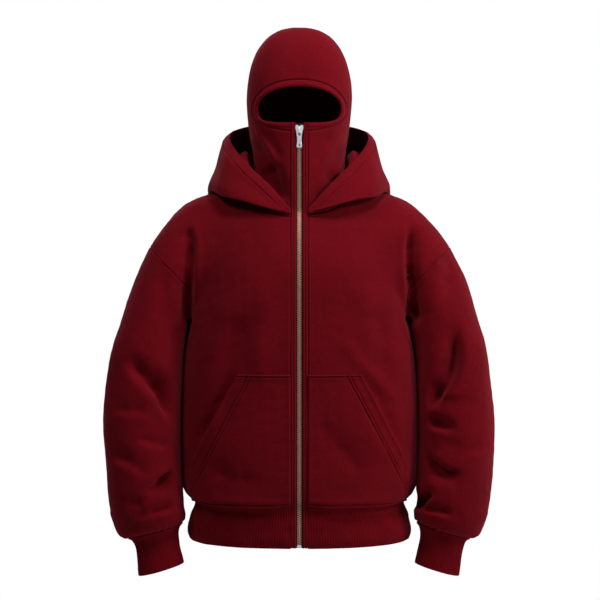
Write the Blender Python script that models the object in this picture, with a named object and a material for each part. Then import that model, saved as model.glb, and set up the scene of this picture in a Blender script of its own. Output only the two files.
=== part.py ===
"""A zip hoodie with a face mask and a wide hood lying open round the neck, filled out as when worn.

Tables are in millimetres and meshes in metres. +X is the wearer's left, -Y the front, +Z up.
The origin lies between the shoulders, level with the ends of the shoulder seams at the neck.
One half of each form is worked out, at +X, and mirrored.
"""

import math

import bmesh
import bpy
import numpy as np

MM = 0.001

# Cloth and seams
CLOTH = 2.6  # heavy brushed fleece
RIB_CLOTH = 2.8  # rib knit, without its ribs
RIB_RISE = 0.8
SEAM_GAP = 0.3  # between two pieces
HALF_GAP = SEAM_GAP / 2
ARMPIT_GAP = 0.5  # more, where the sleeve turns sharply from the body
NECK_GAP = 1.5  # more, where the hood turns up from the round neck
LAID_ON = 0.3  # between a panel and what lies on it
REST_CLEAR = 3.0  # between the hood and the cloth it rests on
SLEEVE_CLEAR = 2.4  # between a sleeve and the body beside it

# Centre front
PLACKET_IN = 6.2
PLACKET_OUT = 16.1
PANEL_EDGE = PLACKET_OUT + SEAM_GAP
PLACKET_CLOTH = 3.2
PLACKET_PROUD = 0.5
CHAIN_HALF = 4.2
CHAIN_THICK = 2.8
TAPE_THICK = 0.8
STOP_HEIGHT = 6.5  # the box at the zip's lower end
SLIDER_GAP = 8.3  # half the space between the plackets beside the slider
SLIDER_LOW = 98.5
SLIDER_HIGH = 115.5
SLIDER_PLATE = 1.4
PULL_Z = 101.6  # the pull tab's hinge
PULL_PROUD = 1.4  # from the slider's face to the hinge
PULL_THICK = 1.6
LOOP_IN = 1.5  # the slider's loop round the hinge, inner and outer radius
LOOP_OUT = 3.1
LOOP_HALF = 1.7
CHAIN_TOP = 104.5
SLIDER_FACE_IN = -0.2  # the slider's face and its rear plate, from the outside of the cloth
SLIDER_REAR_IN = 5.2
SLIDER_OUTLINE = (
    # x, z: its +X half, from the notch between the lobes to the narrow lower end
    (0, 112.8),
    (3.2, SLIDER_HIGH),
    (6.8, SLIDER_HIGH),
    (7.6, 112.6),
    (7.5, 108.4),
    (6.3, 104.6),
    (5.7, SLIDER_LOW),
)
SLIDER_POST_HALF = 2.2
SLIDER_POST_TOP = 112.4
TAB_OUTLINE = (
    # x, z above the hinge: the pull tab's +X half
    (0, 0.8),
    (3.6, 0.8),
    (5.3, -0.6),
    (5.4, -4.0),
    (4.4, -9.5),
    (4.3, -20.0),
    (5.2, -25.0),
    (5.3, -28.0),
    (4.2, -29.8),
)
TAB_SLOT = ((1.6, -0.8), (2.5, -1.8), (2.5, -5.4), (1.6, -6.6))  # round the slider's loop
TAB_HOLE = ((0.8, -23.0), (1.5, -24.0), (1.5, -26.0), (0.8, -27.0))

# Levels
HEM_Z = -690.0
HEM_MIDDLE_Z = -650.0
HEM_SEAM_Z = -609.0
YOKE_Z = -150.0
PLACKET_TOP_Z = 119.5
ARMPIT_Z = -266.0

# Pockets, laid on the fronts: a level top edge, a slanted opening and a short upright edge
POCKET_TOP_Z = -361.0
POCKET_TOP_X = 116.0  # the outer end of the top edge
POCKET_SLANT_X = 93.0  # the opening goes out by this
POCKET_SLANT_Z = 180.0  # as it comes down by this
POCKET_SIDE_X = 208.0

# Horizontal sections of the body, hem to neck
TORSO_POWER = 2.35
TORSO = (
    # z, half_width, front, back
    (-690, 218, 135, 116),
    (-682, 221, 137, 118),
    (-650, 217, 137, 117),
    (-610, 214, 137, 116),
    (-603, 224, 141, 121),
    (-591, 231, 144, 124),
    (-570, 236, 146, 126),
    (-520, 239, 147, 127),
    (-440, 239, 148, 126),
    (-360, 234, 149, 127),
    (-300, 227, 150, 130),
    (-260, 222, 150, 133),
    (-200, 215, 147, 134),
    (-150, 206, 139, 130),
    (-100, 188, 124, 118),
    (-56, 160, 105, 100),
    (-25, 128, 84, 84),
    (8, 86, 60, 64),
    (30, 55, 40, 45),
)

# The line down the middle of a shoulder and sleeve, with the sleeve's half sizes across and in depth
LIMB = (
    # x, y, z, half_width, half_depth
    (60, 4, -44, 46, 48),
    (131, 4, -58, 56, 58),
    (167, 4, -72, 61, 66),
    (196, 2, -92, 66, 70),
    (229, -3, -139, 71, 75),
    (249, -8, -176, 72, 76),
    (270, -15, -225, 71, 76),
    (288, -25, -280, 69, 75),
    (300, -37, -336, 71, 74),
    (305, -44, -400, 74, 72),
    (308, -48, -480, 75, 70),
    (304, -50, -569, 73.5, 66),
    (297, -51, -630, 72, 62),
    (294, -51, -655, 71, 59),
)
SLEEVE_LAST_Z = -634.0
SLEEVE_SECTION_Z = -335.0  # below it the sleeve's rings are square to its line
CUFF_SEAM = (282.5, -52.0, -669.0)
CUFF_END = (270.0, -54.0, -746.0)
CUFF_TILT = math.radians(16)
PUFF = (
    # above_seam, outwards, half_width, half_depth: the sleeve's end, drawn in to the cuff
    (0, 0, 56, 36),
    (4, 1.5, 63.5, 45),
    (13, 4, 69, 53),
)
CUFF = (
    # below_seam, half_width, half_depth
    (0.3, 55.5, 35.5),
    (10, 47, 30),
    (30, 43, 27),
    (77, 44.5, 28),
)

# Seams on the body
ARMHOLE = (
    # z, x
    (-280, 205),
    (-232, 205),
    (-200, 214),
    (-159, 250),
    (-130, 281),
    (-114, 297),
)
NECKLINE_FRONT = (
    # x, z
    (0, -57),
    (30, -55),
    (60, -48),
    (82, -32),
    (92, -10),
    (93, 4),
)
NECKLINE_BACK = (
    # x, z
    (0, 14),
    (40, 13),
    (74, 9),
    (93, 4),
)
SHOULDER_Y = 3.0
SHOULDER_TIP = (297.0, SHOULDER_Y, -114.0)
NECK_POINT = (93.0, SHOULDER_Y, 4.0)
OUTSIDE_Y = 260.0  # clear of the body, before and behind it

# The face mask: sections below its widest level, and a dome above it
MASK_POWER = 2.4
DOME_Z = 170.0
DOME_RISE = 152.0
MASK = (
    # z, half_width, front, back
    (-80, 83, 101, 52),
    (8, 85, 102, 50),
    (38, 89, 103, 58),
    (80, 94, 104, 70),
    (130, 101, 104, 84),
    (170, 105, 103, 95),
)
MASK_SEAM_Y = 14.0  # the seam from ear to ear over the crown
MASK_TUCK = 7.0  # how far the mask's lower edge goes inside the neckline
EYE_Z = 152.0
EYE_HALF_WIDTH = 81.0
EYE_RISE = 37.0
EYE_DROP = 31.0
EYE_RISE_POWER = 2.1
EYE_DROP_POWER = 3.4
EYE_BAND_ABOVE = 14.0  # the band's width above, beside and below the opening
EYE_BAND_BESIDE = 12.0
EYE_BAND_BELOW = 17.5
EYE_SEAM_POWER = 2.1  # the band's seam is rounder below than the opening

# The hood, from the front of the neck (share 0) to the middle of the back (share 1). From its seam at
# the neck the cloth stands up to a roll, falls to the fold it lies on, and turns up and in to its rim
HOOD = (
    # share, roll x y z, fold x y z, belly x y z,
    # side x y z, lip x y z, rim x y z
    (0.00, (17, -108, -54.5), (17, -109, -53), (17, -109, -51.5),
     (17, -109, -50), (17, -109, -48), (17, -108, -46)),
    (0.13, (48, -106, -40), (51, -114, -47), (54, -114, -41),
     (54, -109, -28), (53, -105, -16), (50, -101, -8)),
    (0.28, (84, -88, 0), (104, -104, -30), (113, -100, -17),
     (113, -87, 8), (108, -78, 28), (99, -69, 42)),
    (0.44, (107, -46, 60), (144, -74, -16), (157, -68, -4),
     (152, -58, 26), (142, -50, 58), (128, -38, 78)),
    (0.60, (106, 8, 74), (168, 6, -3), (181, 7, 8), (166, 6, 45), (154, 6, 86), (140, 3, 106)),
    (0.74, (100, 66, 52), (166, 92, -52), (184, 100, -20),
     (169, 90, 42), (149, 68, 110), (131, 54, 127)),
    (0.87, (64, 100, 4), (118, 144, -136), (142, 176, -108),
     (130, 172, 16), (99, 116, 118), (84, 92, 142)),
    (1.00, (0, 112, -10), (0, 150, -168), (0, 198, -142),
     (0, 202, 6), (0, 138, 118), (0, 112, 148)),
)

# Large folds as troughs (negative) and ridges (positive) along a line seen from the front or the back
FOLDS = (
    # side, x0, z0, x1, z1, half_width, rise
    ("front", -220, -80, -226, -220, 14, -9),
    ("front", 220, -80, 226, -220, 14, -9),
    ("front", -336, -330, -237, -435, 20, -10),
    ("front", -366, -426, -306, -430, 14, -4),
    ("front", -286, -486, -238, -512, 14, -6),
    ("front", -354, -516, -274, -547, 14, -8),
    ("front", -292, -588, -230, -546, 13, -8),
    ("front", -330, -646, -250, -622, 11, -6),
    ("front", 304, -256, 297, -350, 18, -6),
    ("front", 304, -340, 228, -434, 21, -11),
    ("front", 224, -437, 302, -470, 14, -8),
    ("front", 240, -500, 328, -553, 15, -9),
    ("front", 222, -580, 268, -592, 12, -5),
    ("front", 222, -614, 316, -637, 11, -7),
    ("back", -368, -256, -262, -350, 18, -9),
    ("back", -380, -430, -262, -470, 16, -8),
    ("back", -360, -560, -250, -600, 14, -8),
    ("back", 368, -262, 262, -340, 20, -9),
    ("back", 384, -410, 270, -455, 16, -8),
    ("back", 372, -540, 258, -585, 15, -9),
    ("back", -222, -90, -228, -220, 15, -7),
    ("back", 222, -90, 228, -220, 15, -7),
    ("front", 130, -205, 205, -420, 30, 4),
    ("front", -135, -210, -205, -410, 30, 4),
    ("back", 60, -230, 40, -520, 40, 4),
    ("back", -150, -250, -110, -500, 36, 4),
)

# How fine the pieces are
FRONT_COLUMNS = 9
NECK_COLUMNS = 3
BACK_COLUMNS = 9  # each side of the middle
COLUMNS_EVEN_BELOW = 110.0  # the armpit
TUCK_LEVELS = (-609, -603, -595, -583)
BODY_ROWS = 10
ARMHOLE_LEVELS = (0.16, 0.36, 0.58, 0.8, 1.0)  # shares of the way from armpit to yoke
YOKE_ROWS = 5
SLEEVE_CAP_RINGS = 5
SLEEVE_RINGS = 12
HEM_RIBS = 6  # on each column of a panel
CUFF_RIBS = 2
HOOD_COLUMNS = 14
HOOD_ROWS = 12


# ---------- curves and fields ----------


def smooth(keys, values, at):
    """A smooth curve through values at rising keys, read at the given places."""
    keys, values = np.asarray(keys, float), np.asarray(values, float)
    at = np.clip(np.asarray(at, float), keys[0], keys[-1])
    i = np.clip(np.searchsorted(keys, at, side="right") - 1, 0, len(keys) - 2)
    slopes = np.gradient(values, keys, axis=0)
    span = keys[i + 1] - keys[i]
    t = (at - keys[i]) / span
    if values.ndim > 1:
        t, span = t[..., None], span[..., None]
    return (
        (2 * t**3 - 3 * t**2 + 1) * values[i]
        + (t**3 - 2 * t**2 + t) * span * slopes[i]
        + (3 * t**2 - 2 * t**3) * values[i + 1]
        + (t**3 - t**2) * span * slopes[i + 1]
    )


def ease(t):
    t = np.clip(t, 0, 1)
    return t * t * (3 - 2 * t)


def smaller(a, b, round_off):
    """The smaller of two distances, rounded where they are near each other."""
    h = np.clip(0.5 + 0.5 * (b - a) / round_off, 0, 1)
    return b + (a - b) * h - round_off * h * (1 - h)


def section(z, table):
    table = np.array(table, float)
    return smooth(table[:, 0], table[:, 1:], z).T


def torso(p):
    """Roughly how far points are outside the body, level with them."""
    half_width, front, back = section(p[:, 2], TORSO)
    depth = np.where(p[:, 1] < 0, front, back)
    share = (np.abs(p[:, 0]) / half_width) ** TORSO_POWER + (np.abs(p[:, 1]) / depth) ** TORSO_POWER
    share = np.maximum(share, 1e-9) ** (1 / TORSO_POWER)
    return np.hypot(p[:, 0], p[:, 1]) * (1 - 1 / np.maximum(share, 1e-6))


LIMB_LINE = smooth(np.arange(len(LIMB)), LIMB, np.linspace(0, len(LIMB) - 1, 4 * len(LIMB)))


def limb(p):
    """Roughly how far points are outside the shoulder and sleeve on their side."""
    q = np.stack([np.abs(p[:, 0]), p[:, 1], p[:, 2]], axis=1)[:, None, :]
    a, b = LIMB_LINE[None, :-1], LIMB_LINE[None, 1:]
    run = b - a
    flat = [0, 2]
    t = ((q - a[..., :3])[..., flat] * run[..., flat]).sum(-1) / (run[..., flat] ** 2).sum(-1)
    at = a + run * np.clip(t, 0, 1)[..., None]
    squeeze = at[..., 3] / at[..., 4]
    off = q - at[..., :3]
    off[..., 1] *= squeeze
    return (np.sqrt((off**2).sum(-1)) - at[..., 3]).min(1)


def worn(p):
    """The outside of body and sleeves as one form, above the armpits."""
    round_off = 3 + 62 * ease((p[:, 2] - ARMPIT_Z) / 120)
    return smaller(torso(p), limb(p), round_off)


def body_form(p):
    share = ease((p[:, 2] - ARMPIT_Z + 2) / 4)
    return torso(p) * (1 - share) + worn(p) * share


def sleeve_form(p):
    beside = -smaller(-limb(p), torso(p) - SLEEVE_CLEAR * ease((ARMPIT_Z + 2 - p[:, 2]) / 30), 3)
    share = ease((p[:, 2] - ARMPIT_Z + 6) / 14)
    return beside * (1 - share) + worn(p) * share


def mask_form(p):
    half_width, front, back = section(p[:, 2], MASK)
    depth = np.where(p[:, 1] < 0, front, back)
    rise = np.maximum(p[:, 2] - DOME_Z, 0)
    share = (
        (np.abs(p[:, 0]) / half_width) ** MASK_POWER
        + (np.abs(p[:, 1]) / depth) ** MASK_POWER
        + (rise / DOME_RISE) ** MASK_POWER
    )
    share = np.maximum(share, 1e-9) ** (1 / MASK_POWER)
    reach = np.sqrt(p[:, 0] ** 2 + p[:, 1] ** 2 + rise**2)
    return reach * (1 - 1 / np.maximum(share, 1e-6))


def slope(form, p, step=0.5):
    """The direction in which a form's distance grows, not yet a unit vector."""
    shifts = np.eye(3) * step
    return np.stack([form(p + s) - form(p - s) for s in shifts], axis=1) / (2 * step)


def unit(v):
    return v / np.maximum(np.linalg.norm(v, axis=-1, keepdims=True), 1e-9)


def onto(form, p, steps=8, longest=12.0):
    """Points moved onto a form's surface."""
    shape = p.shape
    p = p.reshape(-1, 3).copy()
    for _ in range(steps):
        g = slope(form, p)
        move = g * (form(p) / np.maximum((g * g).sum(1), 1e-6))[:, None]
        length = np.linalg.norm(move, axis=1, keepdims=True)
        p -= move * np.minimum(1, longest / np.maximum(length, 1e-9))
    return p.reshape(shape)


def outward(form, p):
    return unit(slope(form, p.reshape(-1, 3))).reshape(p.shape)


def fold_rise(p):
    """How far the large folds lift or sink the cloth at each point."""
    total = np.zeros(len(p))
    for side, x0, z0, x1, z1, half_width, rise in FOLDS:
        start, run = np.array([x0, z0], float), np.array([x1 - x0, z1 - z0], float)
        from_start = p[:, [0, 2]] - start
        along = from_start @ run / (run @ run)
        across = (from_start[:, 0] * run[1] - from_start[:, 1] * run[0]) / np.linalg.norm(run)
        middle = smooth(-np.array(LIMB)[:, 2], np.array(LIMB)[:, 1], -p[:, 2])
        facing = ease(0.5 + (middle - p[:, 1]) / 50 * (1 if side == "front" else -1))
        ends = ease(along / 0.25 + 0.25) * ease((1 - along) / 0.25 + 0.25)
        total += rise * np.exp(-((across / half_width) ** 2)) * ends * facing
    return total


def with_folds(p, normals):
    """Points moved along the cloth's normals by its large folds."""
    return p + normals * fold_rise(p.reshape(-1, 3)).reshape(p.shape[:-1])[..., None]


def distances(points):
    """How far along a line each of its points is."""
    return np.concatenate([[0], np.cumsum(np.linalg.norm(np.diff(points, axis=0), axis=1))])


def at_shares(points, shares):
    """Points of a line at shares of its length."""
    points = np.asarray(points, float)
    far = distances(points)
    return np.stack([np.interp(shares * far[-1], far, points[:, k]) for k in range(3)], axis=1)


def along_line(points, count):
    """The line again, as count points evenly apart."""
    return at_shares(points, np.linspace(0, 1, count))


def patch(bottom, top, left, right):
    """A grid of points between four edges that meet at their corners (a Coons patch)."""
    rows, columns = len(left), len(bottom)
    u, v = np.linspace(0, 1, columns)[None, :, None], np.linspace(0, 1, rows)[:, None, None]
    ruled = (1 - v) * bottom[None] + v * top[None] + (1 - u) * left[:, None] + u * right[:, None]
    corners = (
        (1 - u) * (1 - v) * bottom[0] + u * (1 - v) * bottom[-1] + (1 - u) * v * top[0] + u * v * top[-1]
    )
    return ruled - corners


# ---------- body panels ----------


def front_depth(x, z, sign):
    """The worn form's y at each x and z, on the front (sign -1) or the back (1)."""
    x, z = np.asarray(x, float), np.asarray(z, float)
    probes = np.linspace(OUTSIDE_Y * sign, SHOULDER_Y, 90)
    points = np.stack(np.broadcast_arrays(x[:, None], probes[None], z[:, None]), axis=-1)
    within = body_form(points.reshape(-1, 3)).reshape(len(x), -1) < 0
    within[:, -1] = True
    first = within.argmax(axis=1)
    low, high = probes[first], probes[np.maximum(first - 1, 0)]
    for _ in range(30):
        middle = (low + high) / 2
        inside = body_form(np.stack([x, middle, z], axis=1)) < 0
        low, high = np.where(inside, middle, low), np.where(inside, high, middle)
    return (low + high) / 2


def walk_levels(levels, start_x, sign, step=3.0, count=190):
    """Walks round the worn form at each level, from near the middle outwards. Gives (count, levels, 2)."""
    levels = np.asarray(levels, float)
    x = np.full(len(levels), start_x)
    p = np.stack([x, front_depth(x, levels, sign)], axis=1)

    def value(q):
        return body_form(np.column_stack([q, levels]))

    def gradient(q, h=0.4):
        across, deep = value(q + [h, 0]) - value(q - [h, 0]), value(q + [0, h]) - value(q - [0, h])
        return np.stack([across, deep], axis=1) / (2 * h)

    path = [p]
    heading = np.tile([1.0, 0.0], (len(levels), 1))
    for _ in range(count):
        g = gradient(p)
        along = unit(np.stack([-g[:, 1], g[:, 0]], axis=1))
        along *= np.sign((along * heading).sum(1))[:, None]
        p = p + along * step
        for _ in range(2):
            g = gradient(p)
            p = p - g * (value(p) / np.maximum((g * g).sum(1), 1e-6))[:, None]
        heading = along
        path.append(p)
    return np.array(path)


def armhole_end(path, z):
    """Which of the path's points is at the armhole seam: past the groove beside the arm, at the seam's x."""
    p = np.column_stack([path, np.full(len(path), z)])
    past_groove = np.flatnonzero(limb(p) < torso(p))[0]
    seam_x = smooth(*np.array(ARMHOLE, float).T, z)
    beyond = np.flatnonzero(path[past_groove:, 0] >= seam_x)
    return past_groove + beyond[0]


def rows_above_armpit(start_x, sign, columns):
    """Rows from the armpit to the yoke, middle to armhole."""
    levels = ARMPIT_Z + (YOKE_Z - ARMPIT_Z) * np.array(ARMHOLE_LEVELS)
    paths = walk_levels(levels, start_x, sign)
    rows = []
    for k, z in enumerate(levels):
        path = paths[: armhole_end(paths[:, k], z) + 1, k]
        rows.append(along_line(np.column_stack([path, np.full(len(path), z)]), columns + 1))
    return rows


def rows_below_armpit(start_x, sign, columns, length_above):
    """Rows from the hem seam to the armpit, middle to side seam.

    Just below the armpit the columns go straight down from those above it, which end at the armhole.
    """
    even = np.linspace(0, 1, columns + 1)
    levels = list(TUCK_LEVELS) + list(np.linspace(TUCK_LEVELS[-1], ARMPIT_Z, BODY_ROWS)[1:])
    angles = np.linspace(0, math.pi / 2, 200)
    rows = []
    for z in levels:
        half_width, front, back = section(z, TORSO)
        x = half_width * np.sin(angles) ** (2 / TORSO_POWER)
        y = sign * (front if sign < 0 else back) * np.cos(angles) ** (2 / TORSO_POWER)
        arc = np.column_stack([x, y, np.full(len(x), z)])
        arc = arc[x >= start_x]
        arc = np.vstack([[start_x, np.interp(start_x, x, y), z], arc])
        near = ease(1 - (ARMPIT_Z - z) / COLUMNS_EVEN_BELOW)
        shares = even * (1 - near * (1 - length_above / distances(arc)[-1]))
        shares[-1] = 1
        rows.append(at_shares(arc, shares))
    return rows


def neckline(table, sign, count, start_x):
    """The neckline from near the middle to the neck point, on the form's front or back."""
    table = np.array(table, float)
    far = np.linspace(start_x, table[-1, 0] - 6, 40)
    z = smooth(table[:, 0], table[:, 1], far)
    y = front_depth(far, z, sign)
    line = np.column_stack([far, y, z])
    return along_line(onto(body_form, np.vstack([line, NECK_POINT])), count)


def shoulder_seam(count):
    straight = np.linspace(NECK_POINT, SHOULDER_TIP, 30)
    return along_line(onto(body_form, straight + [0, 0, 12]), count)


def half_panel(start_x, sign, columns):
    """The +X half of the front (sign -1) or the back (1), as rows from the hem seam to the shoulder."""
    upper = rows_above_armpit(start_x, sign, columns)
    lower = rows_below_armpit(start_x, sign, columns, distances(upper[0])[-1])
    yoke_bottom = upper[-1]
    table = NECKLINE_FRONT if sign < 0 else NECKLINE_BACK
    neck = neckline(table, sign, NECK_COLUMNS + 1, start_x)
    shoulder = shoulder_seam(columns - NECK_COLUMNS + 1)
    top = np.vstack([neck, shoulder[1:]])
    middle_z = np.linspace(YOKE_Z, top[0, 2], YOKE_ROWS + 1)
    x = np.full(YOKE_ROWS + 1, start_x)
    left = np.column_stack([x, front_depth(x, middle_z, sign), middle_z])
    armhole_z = np.linspace(YOKE_Z, top[-1, 2], 24)[:-1]
    armhole_x = smooth(*np.array(ARMHOLE, float).T, armhole_z)
    armhole = np.column_stack([armhole_x, front_depth(armhole_x, armhole_z, sign), armhole_z])
    right = along_line(onto(body_form, np.vstack([yoke_bottom[-1], armhole[1:], top[-1]])), YOKE_ROWS + 1)
    left[0], left[-1], right[0], right[-1] = yoke_bottom[0], top[0], yoke_bottom[-1], top[-1]
    yoke = patch(yoke_bottom, top, left, right)
    yoke[1:-1, 1:-1] = onto(body_form, yoke[1:-1, 1:-1])
    return np.array(lower + upper + list(yoke[1:]))


# ---------- sheets and solids ----------


def grid_faces(grid, closed=False):
    """Triangles of a grid of points. Each cell is cut along its shorter diagonal."""
    rows, columns = grid.shape[:2]
    faces = []
    for r in range(rows - 1):
        for c in range(columns if closed else columns - 1):
            after = (c + 1) % columns
            a, b = r * columns + c, r * columns + after
            d, e = a + columns, b + columns
            one, other = grid[r + 1, after] - grid[r, c], grid[r + 1, c] - grid[r, after]
            if one @ one <= other @ other:
                faces += [(a, b, e), (a, e, d)]
            else:
                faces += [(a, b, d), (b, e, d)]
    return faces


def mirrored(grid):
    """The same grid on the other side, in the order that keeps its faces pointing out."""
    return (grid * [-1, 1, 1])[:, ::-1]


def trimmed(grid, sides, by=HALF_GAP):
    """The grid with its edges on the named sides drawn back square to themselves, for the gap at a seam."""
    grid = grid.copy()
    edges = {
        "low": (grid[0], grid[1]),
        "high": (grid[-1], grid[-2]),
        "first": (grid[:, 0], grid[:, 1]),
        "last": (grid[:, -1], grid[:, -2]),
    }
    moves = {}
    for name in sides:
        edge, inner = edges[name]
        along, inwards = unit(np.gradient(edge, axis=0)), inner - edge
        inwards = inwards - along * (inwards * along).sum(axis=-1, keepdims=True)
        moves[name] = unit(inwards) * by
    for name, move in moves.items():
        edges[name][0][...] += move
    return grid


def points_out(points, faces, normals):
    """The faces, turned so that they face the way the normals point."""
    a, b, c = (points[np.array(faces)[:, k]] for k in range(3))
    agree = (np.cross(b - a, c - a) * normals[np.array(faces)[:, 0]]).sum()
    return faces if agree > 0 else [f[::-1] for f in faces]


def thick_mesh(points, faces, normals, over=0.0, under=CLOTH):
    """A closed wall from a sheet of cloth: its outside over the points, its inside under them."""
    points, normals = points.reshape(-1, 3), normals.reshape(-1, 3)
    faces = points_out(points, faces, normals)
    count = len(points)
    both = np.vstack([points + normals * over, points - normals * under])
    solid = list(faces) + [tuple(i + count for i in f[::-1]) for f in faces]
    used = {(f[k], f[(k + 1) % len(f)]) for f in faces for k in range(len(f))}
    for a, b in sorted(used):
        if (b, a) not in used:
            solid += [(b, a, a + count), (b, a + count, b + count)]
    return both, solid


def make_object(name, points, faces, material):
    mesh = bpy.data.meshes.new(name)
    mesh.from_pydata((points * MM).tolist(), [], faces)
    mesh.validate()
    mesh.materials.append(material)
    obj = bpy.data.objects.new(name, mesh)
    bpy.context.scene.collection.objects.link(obj)
    work = bmesh.new()
    work.from_mesh(mesh)
    loose = [v for v in work.verts if not v.link_faces]
    bmesh.ops.delete(work, geom=loose, context="VERTS")
    work.to_mesh(mesh)
    work.free()
    mesh.shade_smooth()
    mesh.set_sharp_from_angle(angle=math.radians(50))
    return obj


def square_to_zip(grid, normals):
    """Normals with nothing sideways where a piece meets the placket, so that the gap there stays even."""
    beside = np.abs(grid[..., :1]) < PANEL_EDGE + 0.01
    return unit(normals * np.where(beside, [0.0, 1.0, 1.0], 1.0))


def panel(name, grid, form, material, sides=(), over=0.0, under=CLOTH, folded=True):
    """A piece of cloth over a grid of points on a form, with its edges on the named sides drawn back."""
    normals = square_to_zip(grid, outward(form, grid))
    if folded:
        grid = with_folds(grid, normals)
    faces = grid_faces(grid)
    points, solid = thick_mesh(trimmed(grid, sides), faces, normals, over, under)
    return make_object(name, points, solid, material)


# ---------- sleeves and ribs ----------


def limb_frame(z):
    """The middle of the sleeve at a level, and its half sizes."""
    return smooth(-np.array(LIMB)[:, 2], LIMB, -np.asarray(z, float))


def sleeve_ring(z, count):
    """A ring square to the sleeve's line: from its inner side by the front to its outer side and back."""
    at, below = limb_frame(z), limb_frame(z - 1)
    run = unit((below - at)[:3])
    across = unit(np.array([-run[2], 0, run[0]]))
    angle = np.linspace(0, 2 * math.pi, count, endpoint=False)
    return (
        at[:3]
        - np.outer(np.cos(angle) * at[3], across)
        - np.outer(np.sin(angle) * at[4], [0, 1, 0])
    )


def tilted_ring(centre, half_width, half_depth, count):
    across = np.array([math.cos(CUFF_TILT), 0, -math.sin(CUFF_TILT)])
    angle = np.linspace(0, 2 * math.pi, count, endpoint=False)
    return (
        np.asarray(centre)
        - np.outer(np.cos(angle) * half_width, across)
        - np.outer(np.sin(angle) * half_depth, [0, 1, 0])
    )


def sleeve_grid(armhole):
    """The sleeve's rings, from the armhole loop to the cuff's seam, on +X."""
    count = len(armhole)
    first = onto(sleeve_form, sleeve_ring(SLEEVE_SECTION_Z, count))
    rings = [armhole]
    for k in range(1, SLEEVE_CAP_RINGS + 1):
        share = k / (SLEEVE_CAP_RINGS + 1)
        rings.append(onto(sleeve_form, armhole * (1 - share) + first * share))
    for z in np.linspace(SLEEVE_SECTION_Z, SLEEVE_LAST_Z, SLEEVE_RINGS):
        ring = sleeve_ring(z, count)
        rings.append(onto(sleeve_form, ring) if z > -640 else ring)
    up = unit(np.array(CUFF_SEAM) - np.array(CUFF_END))
    for above, outwards, half_width, half_depth in PUFF[::-1]:
        centre = np.array(CUFF_SEAM) + up * above + [outwards, 0, 0]
        rings.append(tilted_ring(centre, half_width, half_depth, count))
    return np.array(rings)


def ring_normals(grid):
    """Outward directions of a closed grid of rings, from its own points."""
    round_it = np.roll(grid, -1, axis=1) - np.roll(grid, 1, axis=1)
    down = np.gradient(grid, axis=0)
    normals = unit(np.cross(round_it, down))
    centre = grid.mean(axis=1, keepdims=True)
    return normals * np.sign((normals * (grid - centre)).sum())


def sleeve(name, grid, material):
    """A sleeve over its rings. Gives its last ring, where the cuff begins."""
    level = grid[..., 2:]
    gathered = ease((-560 - level) / 60)
    normals = unit(outward(sleeve_form, grid) * (1 - gathered) + ring_normals(grid) * gathered)
    normals[0] = outward(body_form, grid[0])
    grid = grid + (with_folds(grid, normals) - grid) * ease((level + 668) / 40)
    faces = grid_faces(grid, closed=True)
    near_armpit = ease((ARMPIT_Z + 95 - grid[0, :, 2:]) / 40)
    grid = trimmed(grid, ("low",), HALF_GAP + ARMPIT_GAP * near_armpit)
    grid = trimmed(grid, ("high",))
    points, solid = thick_mesh(grid, faces, normals)
    make_object(name, points, solid, material)
    return grid[-1]


def ribbed(name, rings, normals, ribs, material, closed):
    """A band of rib knit: rings of points, with ribs raised between them over a plain inside."""
    rows, columns = rings.shape[:2]
    fine_per = 2 * ribs
    spans = columns if closed else columns - 1
    fine_columns = spans * fine_per + (0 if closed else 1)
    at = np.arange(fine_columns) / fine_per
    low = np.floor(at).astype(int)
    low = low % columns if closed else np.minimum(low, columns - 2)
    high = (low + 1) % columns
    t = (at - np.floor(at) if closed else at - low)[None, :, None]
    base = rings[:, low] * (1 - t) + rings[:, high] * t
    out = unit(normals[:, low] * (1 - t) + normals[:, high] * t)
    raised = (np.arange(fine_columns) % 2)[None, :, None] * RIB_RISE
    outer = (base + out * raised).reshape(-1, 3)
    inner = (rings - normals * RIB_CLOTH).reshape(-1, 3)
    first_inner = len(outer)
    faces = points_out(outer, grid_faces(base, closed), out.reshape(-1, 3))
    plain = points_out(inner, grid_faces(rings, closed), -normals.reshape(-1, 3))
    faces = list(faces) + [tuple(i + first_inner for i in f) for f in plain]
    used = {(f[k], f[(k + 1) % 3]) for f in faces for k in range(3)}

    def rim(row):
        """Triangles between the ribbed edge and the plain edge of one row."""
        made = []
        for j in range(spans):
            a = first_inner + row * columns + j
            b = first_inner + row * columns + (j + 1) % columns
            fine = [row * fine_columns + (j * fine_per + k) % fine_columns for k in range(fine_per + 1)]
            if not closed:
                fine = [row * fine_columns + j * fine_per + k for k in range(fine_per + 1)]
            half = fine_per // 2
            for k in range(fine_per):
                made.append((fine[k], fine[k + 1], a if k < half else b))
            made.append((fine[half], b, a))
        return made

    for row in (0, rows - 1):
        made = rim(row)
        if (made[0][0], made[0][1]) in used:
            made = [f[::-1] for f in made]
        faces += made
    if not closed:
        for fine, coarse in ((0, 0), (fine_columns - 1, columns - 1)):
            for r in range(rows - 1):
                a, b = r * fine_columns + fine, (r + 1) * fine_columns + fine
                c, d = first_inner + r * columns + coarse, first_inner + (r + 1) * columns + coarse
                made = [(a, b, d), (a, d, c)]
                if (a, b) in used:
                    made = [f[::-1] for f in made]
                faces += made
    return make_object(name, np.vstack([outer, inner]), faces, material)


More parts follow.
